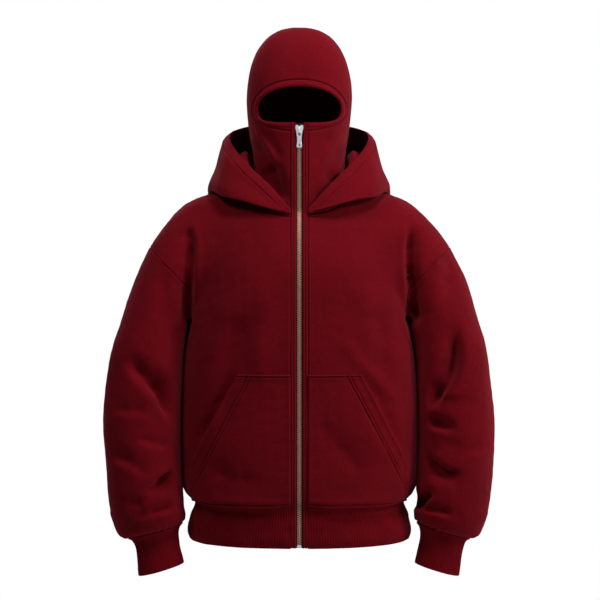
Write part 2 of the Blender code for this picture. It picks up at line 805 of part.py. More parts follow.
def cuff(name, seam_ring, material, side):
    """A rib cuff whose upper edge follows the sleeve's lower edge."""
    count = len(seam_ring)
    down = unit(np.array(CUFF_END) - np.array(CUFF_SEAM))
    length = np.linalg.norm(np.array(CUFF_END) - np.array(CUFF_SEAM))
    rings = []
    for below, half_width, half_depth in CUFF:
        centre = np.array(CUFF_SEAM) + (np.array(CUFF_END) - np.array(CUFF_SEAM)) * below / length
        rings.append(tilted_ring(centre, half_width, half_depth, count))
    rings[0] = seam_ring + down * SEAM_GAP
    rings = np.array(rings)
    normals = ring_normals(rings)
    if side < 0:
        rings, normals = rings * [-1, 1, 1], normals * [-1, 1, 1]
    return ribbed(name, rings, normals, CUFF_RIBS, material, closed=True)


def hem_band(name, bottom_row, material):
    """The rib hem, from the placket round the back to the placket, under the body's lower edge."""
    rings = []
    for z in (HEM_SEAM_Z - SEAM_GAP, HEM_MIDDLE_Z, HEM_Z):
        half_width, front, back = section(z, TORSO) / section(HEM_SEAM_Z, TORSO)
        ring = bottom_row.copy()
        ring[:, 0] *= half_width
        ring[:, 1] *= np.where(ring[:, 1] < 0, front, back)
        ring[:, 2] = z
        ring[[0, -1], 0] = np.sign(ring[[0, -1], 0]) * PANEL_EDGE
        rings.append(ring)
    rings = np.array(rings)
    normals = outward(torso, rings)
    normals[..., 2] = 0
    return ribbed(name, rings, unit(normals), HEM_RIBS, material, closed=False)


# ---------- mask ----------


def eye_loop(share, count):
    """Half of a line round the eye opening, from the placket below it to the middle above. The line is
    the opening's edge at share 0 and its band's seam at share 1."""
    angle = np.linspace(0, math.pi, 400)
    below = angle < math.pi / 2
    drop_power = EYE_DROP_POWER + (EYE_SEAM_POWER - EYE_DROP_POWER) * share
    power = np.where(below, drop_power, EYE_RISE_POWER)
    x = (EYE_HALF_WIDTH + EYE_BAND_BESIDE * share) * np.abs(np.sin(angle)) ** (2 / power)
    reach = np.where(below, -EYE_DROP - EYE_BAND_BELOW * share, EYE_RISE + EYE_BAND_ABOVE * share)
    z = EYE_Z + reach * np.abs(np.cos(angle)) ** (2 / power)
    keep = (x >= PANEL_EDGE) | (angle > math.pi / 2)
    x, z = x[keep], z[keep]
    x[0] = PANEL_EDGE
    y = -mask_front_depth(x, z)
    return along_line(onto_mask(np.column_stack([x, y, z])), count)


def mask_front_depth(x, z):
    half_width, front, _ = section(z, MASK)
    rise = np.maximum(z - DOME_Z, 0) / DOME_RISE
    left = 1 - (np.abs(x) / half_width) ** MASK_POWER - rise**MASK_POWER
    return front * np.maximum(left, 0.0) ** (1 / MASK_POWER)


def onto_mask(p):
    return onto(mask_form, p, steps=6)


def mask_neck(start, count):
    """The mask's lower edge inside the neckline, from the middle of the front or back to the ear seam."""
    table, sign = (NECKLINE_FRONT, -1) if start == "front" else (NECKLINE_BACK, 1)
    first = PANEL_EDGE if sign < 0 else 0.0
    line = neckline(table, sign, 60, first)
    line[:, 2] -= MASK_TUCK
    pulled = onto_mask(line * [0.96, 0.97, 1])
    pulled[0, 0] = first
    keep = pulled[:, 1] * sign > MASK_SEAM_Y * sign
    pulled = pulled[keep]
    side = ear_seam_points()[0]
    return along_line(np.vstack([pulled, side]), count)


def ear_seam_points():
    """The seam from the neck over the ear to the crown, on +X."""
    over = DOME_Z + DOME_RISE * np.sin(np.linspace(0.05, 1, 60) * math.pi / 2)
    z = np.concatenate([np.linspace(2, DOME_Z, 40), over])
    half_width = section(z, MASK)[0]
    rise = np.clip((z - DOME_Z) / DOME_RISE, 0, 1)
    x = half_width * (1 - rise**MASK_POWER) ** (1 / MASK_POWER)
    line = onto_mask(np.column_stack([x, np.full(len(x), MASK_SEAM_Y), z]))
    line[-1, 0] = 0.0
    return line


def mask_pieces(cloth):
    """Front and back of the mask, and the band round the eye opening."""
    neck_count, seam_count, ring_rows, band_rows = 6, 15, 7, 2
    seam = along_line(ear_seam_points(), seam_count)
    neck = mask_neck("front", neck_count)
    outer = np.vstack([neck, seam[1:]])
    columns = len(outer)
    band_out = eye_loop(1.0, columns)
    band_in = eye_loop(0.0, columns)
    rows = []
    for share in np.linspace(0, 1, ring_rows):
        rows.append(band_out * (1 - share) + outer * share)
    half = onto_mask(np.array(rows))
    half[:, 0, 0], half[:, -1, 0] = PANEL_EDGE, 0.0
    whole = np.concatenate([half, mirrored(half)[:, 1:]], axis=1)
    panel("mask_front", whole, mask_form, cloth, sides=("low", "high"), folded=False)
    rows = [band_in * (1 - s) + band_out * s for s in np.linspace(0, 1, band_rows + 1)]
    half = onto_mask(np.array(rows))
    half[:, 0, 0], half[:, -1, 0] = PANEL_EDGE, 0.0
    whole = np.concatenate([half, mirrored(half)[:, 1:]], axis=1)
    panel("eye_band", whole, mask_form, cloth, sides=("high",), over=0.6, under=3.0, folded=False)

    corner = 2 * seam_count // 3
    back_neck = mask_neck("back", 7)
    bottom = np.concatenate([mirrored(back_neck[::-1][None])[0][::-1], back_neck[1:]])
    side, over = seam[: corner + 1], seam[corner:]
    top = np.concatenate([over * [-1, 1, 1], over[::-1][1:]])
    left = side * [-1, 1, 1]
    middle = len(bottom) // 2
    bottom = along_line_keep(bottom, middle, len(top))
    grid = patch(bottom, top, left, side)
    grid[1:-1, 1:-1, 1] += 60 * np.sin(np.linspace(0, math.pi, grid.shape[1]))[1:-1]
    grid[1:-1, 1:-1] = onto(mask_form, grid[1:-1, 1:-1], steps=12)
    even = np.stack([along_line(grid[:, k], len(grid)) for k in range(grid.shape[1])], axis=1)
    grid[1:-1, 1:-1] = onto(mask_form, even[1:-1, 1:-1])
    panel("mask_back", grid, mask_form, cloth, sides=("high", "first", "last"), folded=False)


def along_line_keep(points, middle, count):
    """The line as count points, an odd number, with its middle point kept."""
    half = count // 2 + 1
    first, second = along_line(points[: middle + 1], half), along_line(points[middle:], half)
    return np.vstack([first, second[1:]])


# ---------- hood ----------


def neck_seam(shares):
    """Points of the neck seam on +X, from the placket to the middle of the back, at shares of its length."""
    front = neckline(NECKLINE_FRONT, -1, 60, PANEL_EDGE)
    back = neckline(NECKLINE_BACK, 1, 60, 0.0)[::-1]
    return at_shares(np.vstack([front, back[1:]]), shares)


def hood_surface(shares, around):
    """The hood on +X as rows from neck to rim, each from the placket to the middle of the back."""
    keys = [row[0] for row in HOOD]
    table = np.array([np.ravel(row[1:]) for row in HOOD], float)
    lines = smooth(keys, table, shares).reshape(len(shares), -1, 3)
    seam = neck_seam(shares) + [0, 0, NECK_GAP]
    lines = np.concatenate([seam[:, None], lines], axis=1)
    last = lines.shape[1] - 1
    grid = np.stack([smooth(np.arange(last + 1), line, around * last) for line in lines], axis=1)
    flat = grid.reshape(-1, 3)
    clear = LAID_ON + (REST_CLEAR - LAID_ON) * ease(around / 0.12)
    near = np.maximum(np.repeat(clear, len(shares)) - body_form(flat), 0)
    return (flat + outward(body_form, flat) * near[:, None]).reshape(grid.shape)


def grid_normals(grid):
    """Directions square to an open grid, from its own points."""
    return unit(np.cross(np.gradient(grid, axis=1), np.gradient(grid, axis=0)))


def hood(cloth):
    shares, around = np.linspace(0, 1, HOOD_COLUMNS + 1), np.linspace(0, 1, HOOD_ROWS + 1)
    grid = hood_surface(shares, around)
    normals = grid_normals(grid)
    normals[:, [0, -1], 0] = 0
    normals = unit(normals)
    grid[:, 0, 0] = PANEL_EDGE
    grid[:, -1, 0] = HALF_GAP
    faces = grid_faces(grid)
    for name, flip in (("hood_left", 1), ("hood_right", -1)):
        side = np.array([flip, 1, 1])
        points, solid = thick_mesh(grid * side, faces, normals * side)
        make_object(name, points, solid, cloth)


# ---------- pockets, plackets and zip ----------


def pocket(name, grid, cloth, side):
    """A pocket laid on a front panel: cut from the panel's own faces and moved out."""
    sheet = with_folds(grid, outward(body_form, grid))
    faces = grid_faces(sheet)
    sheet = trimmed(sheet, ("low", "first") if side > 0 else ("low", "last"))
    work = bmesh.new()
    verts = [work.verts.new(p) for p in sheet.reshape(-1, 3)]
    for face in faces:
        work.faces.new([verts[i] for i in face])
    cuts = (
        ((0, 0, POCKET_TOP_Z), (0, 0, 1)),
        ((side * POCKET_TOP_X, 0, POCKET_TOP_Z), (side * POCKET_SLANT_Z, 0, POCKET_SLANT_X)),
        ((side * POCKET_SIDE_X, 0, 0), (side, 0, 0)),
    )
    for at, away in cuts:
        geom = work.verts[:] + work.edges[:] + work.faces[:]
        bmesh.ops.bisect_plane(work, geom=geom, dist=1e-4, plane_co=at, plane_no=away, clear_outer=True)
    bmesh.ops.triangulate(work, faces=work.faces[:])
    work.verts.index_update()
    points = np.array([v.co for v in work.verts])
    faces = [tuple(v.index for v in f.verts) for f in work.faces]
    work.free()
    made, solid = thick_mesh(points, faces, outward(body_form, points), over=LAID_ON + CLOTH, under=-LAID_ON)
    return make_object(name, made, solid, cloth)


def centre_depth(x, z):
    """How far forward the outside of the cloth is beside the zip."""
    half_width, front, _ = section(z, TORSO)
    body = front * (1 - (x / half_width) ** TORSO_POWER) ** (1 / TORSO_POWER)
    return -smaller(-body, -mask_front_depth(x, z), 5)


def strip(name, x_from, x_to, z, depth_in, thick, material, side=1):
    """A band of cloth or metal down the centre front, between two distances from the middle."""
    outer = []
    for x in (x_from, x_to):
        x = np.broadcast_to(float(x) if np.isscalar(x) else x, z.shape)
        outer.append(np.column_stack([x * side, depth_in - centre_depth(np.abs(x), z), z]))
    grid = np.stack(outer, axis=1)
    faces = grid_faces(grid)
    points, solid = thick_mesh(grid, faces, np.broadcast_to([0.0, -1.0, 0.0], grid.shape), under=thick)
    return make_object(name, points, solid, material)


def prism(name, outline, near, far, material, across="y"):
    """A plate from near to far along y or x. Its outline is in x and z, or in y and z across x."""
    outline = np.array(outline, float)
    count = len(outline)
    layers = []
    for at in (near, far):
        level = np.full(count, float(at))
        order = [outline[:, 0], level] if across == "y" else [level, outline[:, 0]]
        layers.append(np.column_stack([*order, outline[:, 1]]))
    faces = [tuple(range(count)), tuple(range(2 * count - 1, count - 1, -1))]
    for k in range(count):
        after = (k + 1) % count
        faces.append((after, k, k + count, after + count))
    points = np.vstack(layers)
    after = np.roll(outline, -1, axis=0)
    twice_area = (outline[:, 0] * after[:, 1] - after[:, 0] * outline[:, 1]).sum()
    if (twice_area > 0) != (across == "y"):
        faces = [f[::-1] for f in faces]
    return make_object(name, points, faces, material)


def both_sides(half):
    """A closed outline from its +X half, which runs from the top to the bottom."""
    return [(-x, z) for x, z in half if x > 0][::-1] + list(half)


def arc(centre, radius, start, end, steps):
    angles = np.radians(np.linspace(start, end, steps + 1))
    return [(centre[0] + radius * math.cos(a), centre[1] + radius * math.sin(a)) for a in angles]


def join(obj, others, operation="UNION"):
    """Joins or cuts an object with helpers, which stay hidden."""
    for other in others:
        step = obj.modifiers.new(other.name, "BOOLEAN")
        step.operation = operation
        step.object = other
        other.hide_render = True
        other.display_type = "WIRE"


def zip_slider(y, metal):
    """The slider: a plate before and behind the chain, a post between them, and the pull tab's loop."""
    outline = both_sides(SLIDER_OUTLINE)
    face = y + SLIDER_FACE_IN
    rear = y + SLIDER_REAR_IN
    slider = prism("zip_slider", outline, face, face + SLIDER_PLATE, metal)
    rear_plate = prism("slider_rear_plate", outline, rear, rear + SLIDER_PLATE, metal)
    post_outline = both_sides(((SLIDER_POST_HALF, SLIDER_POST_TOP), (SLIDER_POST_HALF, CHAIN_TOP + 0.8)))
    post = prism("slider_post", post_outline, face + 0.5, rear + 0.5, metal)
    hinge = (face - PULL_PROUD, PULL_Z)
    ring = arc(hinge, LOOP_OUT, 90, 270, 8)
    hollow = arc(hinge, LOOP_IN, 270, 90, 6)
    inside = face + 0.5
    loop_outline = [(inside, PULL_Z + LOOP_OUT), *ring, (inside, PULL_Z - LOOP_OUT)]
    loop_outline += [(inside, PULL_Z - LOOP_IN), *hollow, (inside, PULL_Z + LOOP_IN)]
    loop = prism("slider_loop", loop_outline, -LOOP_HALF, LOOP_HALF, metal, across="x")
    join(slider, (rear_plate, post, loop))
    return hinge


def pull_tab(hinge, metal):
    """The pull tab, hanging from the slider's loop. Its origin is on its hinge."""
    tab = prism("zip_pull_tab", both_sides(TAB_OUTLINE), -PULL_THICK / 2, PULL_THICK / 2, metal)
    reach = 2 * PULL_THICK
    slot = prism("tab_slot_cut", both_sides(TAB_SLOT), -reach, reach, metal)
    hole = prism("tab_hole_cut", both_sides(TAB_HOLE), -reach, reach, metal)
    cutters = (slot, hole)
    for obj in (tab, *cutters):
        obj.location = (0, hinge[0] * MM, hinge[1] * MM)
    join(tab, cutters, "DIFFERENCE")


def centre_front(cloth, tape, metal):
    """Plackets, tapes, chain, bottom stop, slider and pull tab, one above the other down the front."""
    levels = np.concatenate(
        [
            np.linspace(HEM_Z, -620, 4),
            [-610, -602, -590],
            np.linspace(-570, -70, 17),
            np.linspace(-56, PLACKET_TOP_Z, 8),
        ]
    )
    edge = PLACKET_IN + (SLIDER_GAP - PLACKET_IN) * ease((levels - SLIDER_LOW + 14) / 10)
    tape_in = -PLACKET_PROUD + PLACKET_CLOTH + SEAM_GAP
    chain_in = tape_in + TAPE_THICK / 2 - CHAIN_THICK / 2
    tape_edge = CHAIN_HALF + SEAM_GAP
    for side, word in ((1, "left"), (-1, "right")):
        strip(f"placket_{word}", edge, PLACKET_OUT, levels, -PLACKET_PROUD, PLACKET_CLOTH, cloth, side)
        strip(f"zip_tape_{word}", tape_edge, PLACKET_OUT - 1, levels, tape_in, TAPE_THICK, tape, side)
    low = HEM_Z + STOP_HEIGHT
    between = levels[(levels > low + 5) & (levels < CHAIN_TOP - 5)]
    chain_z = np.concatenate([[low + SEAM_GAP], between, [CHAIN_TOP]])
    strip("zip_chain", -CHAIN_HALF, CHAIN_HALF, chain_z, chain_in, CHAIN_THICK, metal)
    stop_z = np.array([HEM_Z + 0.5, low])
    strip("zip_bottom_stop", -CHAIN_HALF, CHAIN_HALF, stop_z, chain_in - 0.4, CHAIN_THICK + 0.8, metal)
    y = -centre_depth(np.zeros(1), np.array([PULL_Z]))[0]
    pull_tab(zip_slider(y, metal), metal)


# ---------- colours ----------


def material(name, colour, roughness, metallic=0.0):
    made = bpy.data.materials.new(name)
    made.use_nodes = True
    shader = made.node_tree.nodes["Principled BSDF"]
    shader.inputs["Base Color"].default_value = (*colour, 1)
    shader.inputs["Roughness"].default_value = roughness
    shader.inputs["Metallic"].default_value = metallic
    return made


def main():
    for obj in list(bpy.data.objects):
        bpy.data.objects.remove(obj)
    fleece = material("fleece", (0.115, 0.006, 0.012), 0.9)
    rib = material("rib_knit", (0.1, 0.005, 0.01), 0.9)
    tape = material("zip_tape", (0.04, 0.004, 0.006), 0.85)
    metal = material("zip_metal", (0.62, 0.55, 0.46), 0.35, metallic=1.0)

    front = half_panel(PANEL_EDGE, -1, FRONT_COLUMNS)
    back = half_panel(0.0, 1, BACK_COLUMNS)
    below = len(TUCK_LEVELS) + BODY_ROWS - 1
    armhole = np.vstack([front[below - 1 :, -1], back[below - 1 :, -1][::-1][1:-1]])

    panel("front_left", front, body_form, fleece, sides=("low", "high", "last"))
    panel("front_right", mirrored(front), body_form, fleece, sides=("low", "high", "first"))
    whole_back = np.concatenate([mirrored(back), back[:, 1:]], axis=1)
    panel("back", whole_back, body_form, fleece, sides=("low", "high", "first", "last"))
    grid = sleeve_grid(armhole)
    for side, word in ((1, "left"), (-1, "right")):
        seam_ring = sleeve(f"sleeve_{word}", grid * [side, 1, 1], fleece)
        cuff(f"cuff_{word}", seam_ring * [side, 1, 1], rib, side)
    half = np.vstack([front[0], back[0][::-1][1:]])
    hem_band("hem_band", np.vstack([half, (half * [-1, 1, 1])[::-1][1:]]), rib)
    pocket("pocket_left", front, fleece, 1)
    pocket("pocket_right", mirrored(front), fleece, -1)
    mask_pieces(fleece)
    hood(fleece)
    centre_front(fleece, tape, metal)


main()
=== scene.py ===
"""Looks of the zip hoodie: its cloth with seams, creases and ribs, the zip, materials, light and camera.

Tables are in millimetres and meshes in metres, in the model's own frame: +X is the wearer's left,
-Y the front, +Z up. One half of each form is worked out, at +X, and mirrored.
"""

import math

import bmesh
import bpy
import numpy as np
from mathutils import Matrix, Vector


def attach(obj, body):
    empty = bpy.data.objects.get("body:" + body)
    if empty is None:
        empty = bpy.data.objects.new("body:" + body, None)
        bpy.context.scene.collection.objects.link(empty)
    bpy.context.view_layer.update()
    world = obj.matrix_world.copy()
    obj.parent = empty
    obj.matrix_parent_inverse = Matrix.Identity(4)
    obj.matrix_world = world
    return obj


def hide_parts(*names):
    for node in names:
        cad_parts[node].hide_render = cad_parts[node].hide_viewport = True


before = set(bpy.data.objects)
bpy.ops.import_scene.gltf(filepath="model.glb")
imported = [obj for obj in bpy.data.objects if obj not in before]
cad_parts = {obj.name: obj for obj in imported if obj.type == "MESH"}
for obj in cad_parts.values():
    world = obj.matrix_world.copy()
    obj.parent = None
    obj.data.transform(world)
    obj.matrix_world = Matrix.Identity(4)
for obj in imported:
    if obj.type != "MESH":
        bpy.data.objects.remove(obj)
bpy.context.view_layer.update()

# ---------- the garment's form, as its solids have it ----------

MM = 0.001

# Cloth and seams
CLOTH = 2.6  # heavy brushed fleece
RIB_CLOTH = 2.8  # rib knit, without its ribs
RIB_RISE = 0.8
SEAM_GAP = 0.3  # between two pieces
HALF_GAP = SEAM_GAP / 2
NECK_GAP = 1.5  # more, where the hood turns up from the round neck
LAID_ON = 0.3  # between a panel and what lies on it
REST_CLEAR = 3.0  # between the hood and the cloth it rests on
SLEEVE_CLEAR = 0.5  # a sleeve lies against the body beside it

# Centre front
PLACKET_IN = 6.2
PLACKET_OUT = 16.1
PANEL_EDGE = PLACKET_OUT + SEAM_GAP
PLACKET_CLOTH = 3.2
PLACKET_PROUD = 0.5
CHAIN_HALF = 4.2
CHAIN_THICK = 2.8
TAPE_THICK = 0.8
STOP_HEIGHT = 6.5  # the box at the zip's lower end
SLIDER_GAP = 8.3  # half the space between the plackets beside the slider
SLIDER_LOW = 98.5
SLIDER_HIGH = 115.5
SLIDER_PLATE = 1.4
PULL_Z = 101.6  # the pull tab's hinge
PULL_PROUD = 1.4  # from the slider's face to the hinge
PULL_THICK = 1.6
LOOP_OUT = 3.1  # the outer radius of the slider's loop round the hinge
LOOP_HALF = 1.7
CHAIN_TOP = 104.5
SLIDER_FACE_IN = -0.2  # the slider's face and its rear plate, from the outside of the cloth
SLIDER_REAR_IN = 5.2
SLIDER_OUTLINE = (
    # x, z: its +X half, from the notch between the lobes to the narrow lower end
    (0, 112.8), (3.2, SLIDER_HIGH), (6.8, SLIDER_HIGH), (7.6, 112.6),
    (7.5, 108.4), (6.3, 104.6), (5.7, SLIDER_LOW),
)
SLIDER_POST_HALF = 2.2
SLIDER_POST_TOP = 112.4
TAB_OUTLINE = (
    # x, z above the hinge: the pull tab's +X half
    (0, 0.8), (3.6, 0.8), (5.3, -0.6), (5.4, -4.0), (4.4, -9.5),
    (4.3, -20.0), (5.2, -25.0), (5.3, -28.0), (4.2, -29.8),
)
TAB_SLOT = ((1.6, -0.8), (2.5, -1.8), (2.5, -5.4), (1.6, -6.6))  # round the slider's loop
TAB_HOLE = ((0.8, -23.0), (1.5, -24.0), (1.5, -26.0), (0.8, -27.0))

# Levels
HEM_Z = -690.0
HEM_SEAM_Z = -609.0
YOKE_Z = -150.0
PLACKET_TOP_Z = 119.5
ARMPIT_Z = -266.0

# Pockets, laid on the fronts: a level top edge, a slanted opening and a short upright edge
POCKET_TOP_Z = -361.0
POCKET_TOP_X = 116.0  # the outer end of the top edge
POCKET_SLANT_X = 93.0  # the opening goes out by this
POCKET_SLANT_Z = 180.0  # as it comes down by this
POCKET_SIDE_X = 208.0

# Horizontal sections of the body, hem to neck
TORSO_POWER = 2.35
TORSO = (
    # z, half_width, front, back
    (-690, 218, 135, 116), (-682, 221, 137, 118), (-650, 217, 137, 117), (-610, 214, 137, 116),
    (-603, 224, 141, 121), (-591, 231, 144, 124), (-570, 236, 146, 126), (-520, 239, 147, 127),
    (-440, 239, 148, 126), (-360, 234, 149, 127), (-300, 227, 150, 130), (-260, 222, 150, 133),
    (-200, 215, 147, 134), (-150, 206, 139, 130), (-100, 188, 124, 118), (-56, 160, 105, 100),
    (-25, 128, 84, 84), (8, 86, 60, 64), (30, 55, 40, 45),
)

# The line down the middle of a shoulder and sleeve, with the sleeve's half sizes across and in depth
LIMB = (
    # x, y, z, half_width, half_depth
    (60, 4, -44, 46, 48), (131, 4, -58, 56, 58), (167, 4, -72, 61, 66),
    (196, 2, -92, 66, 70), (229, -3, -139, 71, 75), (249, -8, -176, 72, 76),
    (270, -15, -225, 71, 76), (288, -25, -280, 69, 75), (300, -37, -336, 71, 74),
    (305, -44, -400, 74, 72), (308, -48, -480, 75, 70), (304, -50, -569, 73.5, 66),
    (297, -51, -630, 72, 62), (294, -51, -655, 71, 59),
)
SLEEVE_LAST_Z = -634.0
SLEEVE_SECTION_Z = -335.0  # below it the sleeve's rings are square to its line
CUFF_SEAM = (282.5, -52.0, -669.0)
CUFF_END = (270.0, -54.0, -746.0)
CUFF_TILT = math.radians(16)
PUFF = (
    # above_seam, outwards, half_width, half_depth: the sleeve's end, drawn in to the cuff
    (0, 0, 56, 36), (4, 1.5, 63.5, 45), (13, 4, 69, 53),
)
CUFF = (
    # below_seam, half_width, half_depth
    (0.3, 55.5, 35.5), (10, 47, 30), (30, 43, 27), (77, 44.5, 28),
)

# Seams on the body
ARMHOLE = (
    # z, x
    (-280, 205), (-232, 205), (-200, 214), (-159, 250), (-130, 281), (-114, 297),
)
NECKLINE_FRONT = (
    # x, z
    (0, -57), (30, -55), (60, -48), (82, -32), (92, -10), (93, 4),
)
NECKLINE_BACK = (
    # x, z
    (0, 14), (40, 13), (74, 9), (93, 4),
)
SHOULDER_Y = 3.0
SHOULDER_TIP = (297.0, SHOULDER_Y, -114.0)
NECK_POINT = (93.0, SHOULDER_Y, 4.0)
OUTSIDE_Y = 260.0  # clear of the body, before and behind it

# The face mask: sections below its widest level, and a dome above it
MASK_POWER = 2.4
DOME_Z = 170.0
DOME_RISE = 152.0
MASK = (
    # z, half_width, front, back
    (-80, 83, 101, 52), (8, 85, 102, 50), (38, 89, 103, 58),
    (80, 94, 104, 70), (130, 101, 104, 84), (170, 105, 103, 95),
)
MASK_SEAM_Y = 14.0  # the seam from ear to ear over the crown
MASK_TUCK = 7.0  # how far the mask's lower edge goes inside the neckline
EYE_Z = 152.0
EYE_HALF_WIDTH = 81.0
EYE_RISE = 37.0
EYE_DROP = 31.0
EYE_RISE_POWER = 2.1
EYE_DROP_POWER = 3.4
EYE_BAND_ABOVE = 14.0  # the band's width above, beside and below the opening
EYE_BAND_BESIDE = 12.0
EYE_BAND_BELOW = 17.5
EYE_SEAM_POWER = 2.1  # the band's seam is rounder below than the opening

# The hood, from the front of the neck (share 0) to the middle of the back (share 1). From its seam at
# the neck the cloth stands up to a roll, falls to the fold it lies on, and turns up and in to its rim
HOOD = (
    # share, roll x y z, fold x y z, belly x y z,
    # side x y z, lip x y z, rim x y z
    (0.00, (17, -108, -54.5), (17, -109, -53), (17, -109, -51.5),
     (17, -109, -50), (17, -109, -48), (17, -108, -46)),
    (0.13, (48, -106, -40), (51, -114, -47), (54, -114, -41),
     (54, -109, -28), (53, -105, -16), (50, -101, -8)),
    (0.28, (84, -88, 0), (104, -104, -30), (113, -100, -17),
     (113, -87, 8), (108, -78, 28), (99, -69, 42)),
    (0.44, (107, -46, 60), (144, -74, -16), (157, -68, -4),
     (152, -58, 26), (142, -50, 58), (128, -38, 78)),
    (0.60, (106, 8, 74), (168, 6, -3), (181, 7, 8), (166, 6, 45), (154, 6, 86), (140, 3, 106)),
    (0.74, (100, 66, 52), (166, 92, -52), (184, 100, -20),
     (169, 90, 42), (149, 68, 110), (131, 54, 127)),
    (0.87, (64, 100, 4), (118, 144, -136), (142, 176, -108),
     (130, 172, 16), (99, 116, 118), (84, 92, 142)),
    (1.00, (0, 112, -10), (0, 150, -168), (0, 198, -142),
     (0, 202, 6), (0, 138, 118), (0, 112, 148)),
)

# How many rows and columns the plain forms have
FRONT_COLUMNS = 18
NECK_COLUMNS = 6
BACK_COLUMNS = 18  # each side of the middle
COLUMNS_EVEN_BELOW = 110.0  # the armpit
TUCK_LEVELS = (-609, -603, -595, -583)
BODY_ROWS = 22
ARMHOLE_LEVELS = (0.08, 0.16, 0.26, 0.36, 0.47, 0.58, 0.69, 0.8, 0.9, 1.0)  # from armpit to yoke
YOKE_ROWS = 10
SLEEVE_CAP_RINGS = 10
SLEEVE_RINGS = 26

# Body and sleeve, rounded into each other: how widely at the armpits, how much more above them, and the
# height over which that grows. Below the armpits each goes over to its own form
ROUND_AT_ARMPIT = 3
ROUND_ABOVE = 62
ROUND_GROWS_OVER = 120
BODY_PARTS_FROM = 2  # how far below the armpit the body's own form ends
BODY_PARTS_OVER = 4
SLEEVE_PARTS_FROM = 6
SLEEVE_PARTS_OVER = 14
ROUND_AT_CHIN = 5  # between body and mask, down the centre front
NECKLINE_SHORT = 6  # each neckline's curve ends this far before the neck point
SHOULDER_DROP = 12  # the shoulder seam is laid on the form from this far above
MASK_NECK_IN = (0.96, 0.97, 1)  # the mask's lower edge, inside the neckline
HOOD_RESTS_FROM = 0.12  # the share at which the hood is fully clear of what it rests on
TINY = 1e-9  # so that nothing is divided by 0
NOT_FLAT = 1e-6


# ---------- curves and fields ----------


def smooth(keys, values, at):
    """A smooth curve through values at rising keys, read at the given places."""
    keys, values = np.asarray(keys, float), np.asarray(values, float)
    at = np.clip(np.asarray(at, float), keys[0], keys[-1])
    i = np.clip(np.searchsorted(keys, at, side="right") - 1, 0, len(keys) - 2)
    slopes = np.gradient(values, keys, axis=0)
    span = keys[i + 1] - keys[i]
    t = (at - keys[i]) / span
    if values.ndim > 1:
        t, span = t[..., None], span[..., None]
    return (
        (2 * t**3 - 3 * t**2 + 1) * values[i]
        + (t**3 - 2 * t**2 + t) * span * slopes[i]
        + (3 * t**2 - 2 * t**3) * values[i + 1]
        + (t**3 - t**2) * span * slopes[i + 1]
    )


def ease(t):
    t = np.clip(t, 0, 1)
    return t * t * (3 - 2 * t)


def smaller(a, b, round_off):
    """The smaller of two distances, rounded where they are near each other."""
    h = np.clip(0.5 + 0.5 * (b - a) / round_off, 0, 1)
    return b + (a - b) * h - round_off * h * (1 - h)


def section(z, table):
    table = np.array(table, float)
    return smooth(table[:, 0], table[:, 1:], z).T


def round_share(p, table, power):
    """How far out points are in a table's sections, as a power of a share: 1 on their outline."""
    half_width, front, back = section(p[:, 2], table)
    depth = np.where(p[:, 1] < 0, front, back)
    return (np.abs(p[:, 0]) / half_width) ** power + (np.abs(p[:, 1]) / depth) ** power


def outside_by(share, power, reach):
    """Roughly how far outside that outline points are that lie reach from its middle."""
    share = np.maximum(share, TINY) ** (1 / power)
    return reach * (1 - 1 / np.maximum(share, NOT_FLAT))


def torso(p):
    """Roughly how far points are outside the body, level with them."""
    return outside_by(round_share(p, TORSO, TORSO_POWER), TORSO_POWER, np.hypot(p[:, 0], p[:, 1]))


LIMB_LINE = smooth(np.arange(len(LIMB)), LIMB, np.linspace(0, len(LIMB) - 1, 4 * len(LIMB)))


def limb(p):
    """Roughly how far points are outside the shoulder and sleeve on their side."""
    q = np.stack([np.abs(p[:, 0]), p[:, 1], p[:, 2]], axis=1)[:, None, :]
    a, b = LIMB_LINE[None, :-1], LIMB_LINE[None, 1:]
    run = b - a
    flat = [0, 2]
    t = ((q - a[..., :3])[..., flat] * run[..., flat]).sum(-1) / (run[..., flat] ** 2).sum(-1)
    at = a + run * np.clip(t, 0, 1)[..., None]
    squeeze = at[..., 3] / at[..., 4]
    off = q - at[..., :3]
    off[..., 1] *= squeeze
    return (np.sqrt((off**2).sum(-1)) - at[..., 3]).min(1)


def worn(p):
    """The outside of body and sleeves as one form, above the armpits."""
    round_off = ROUND_AT_ARMPIT + ROUND_ABOVE * ease((p[:, 2] - ARMPIT_Z) / ROUND_GROWS_OVER)
    return smaller(torso(p), limb(p), round_off)


def body_form(p):
    share = ease((p[:, 2] - ARMPIT_Z + BODY_PARTS_FROM) / BODY_PARTS_OVER)
    return torso(p) * (1 - share) + worn(p) * share


def sleeve_form(p):
    clear = SLEEVE_CLEAR * ease((ARMPIT_Z + 2 - p[:, 2]) / 30)
    beside = -smaller(-limb(p), torso(p) - clear, ROUND_AT_ARMPIT)
    share = ease((p[:, 2] - ARMPIT_Z + SLEEVE_PARTS_FROM) / SLEEVE_PARTS_OVER)
    return beside * (1 - share) + worn(p) * share


def mask_form(p):
    rise = np.maximum(p[:, 2] - DOME_Z, 0)
    share = round_share(p, MASK, MASK_POWER) + (rise / DOME_RISE) ** MASK_POWER
    return outside_by(share, MASK_POWER, np.sqrt(p[:, 0] ** 2 + p[:, 1] ** 2 + rise**2))


def slope(form, p, step=0.5):
    """The direction in which a form's distance grows, not yet a unit vector."""
    shifts = np.eye(3) * step
    return np.stack([form(p + s) - form(p - s) for s in shifts], axis=1) / (2 * step)


def unit(v):
    return v / np.maximum(np.linalg.norm(v, axis=-1, keepdims=True), TINY)


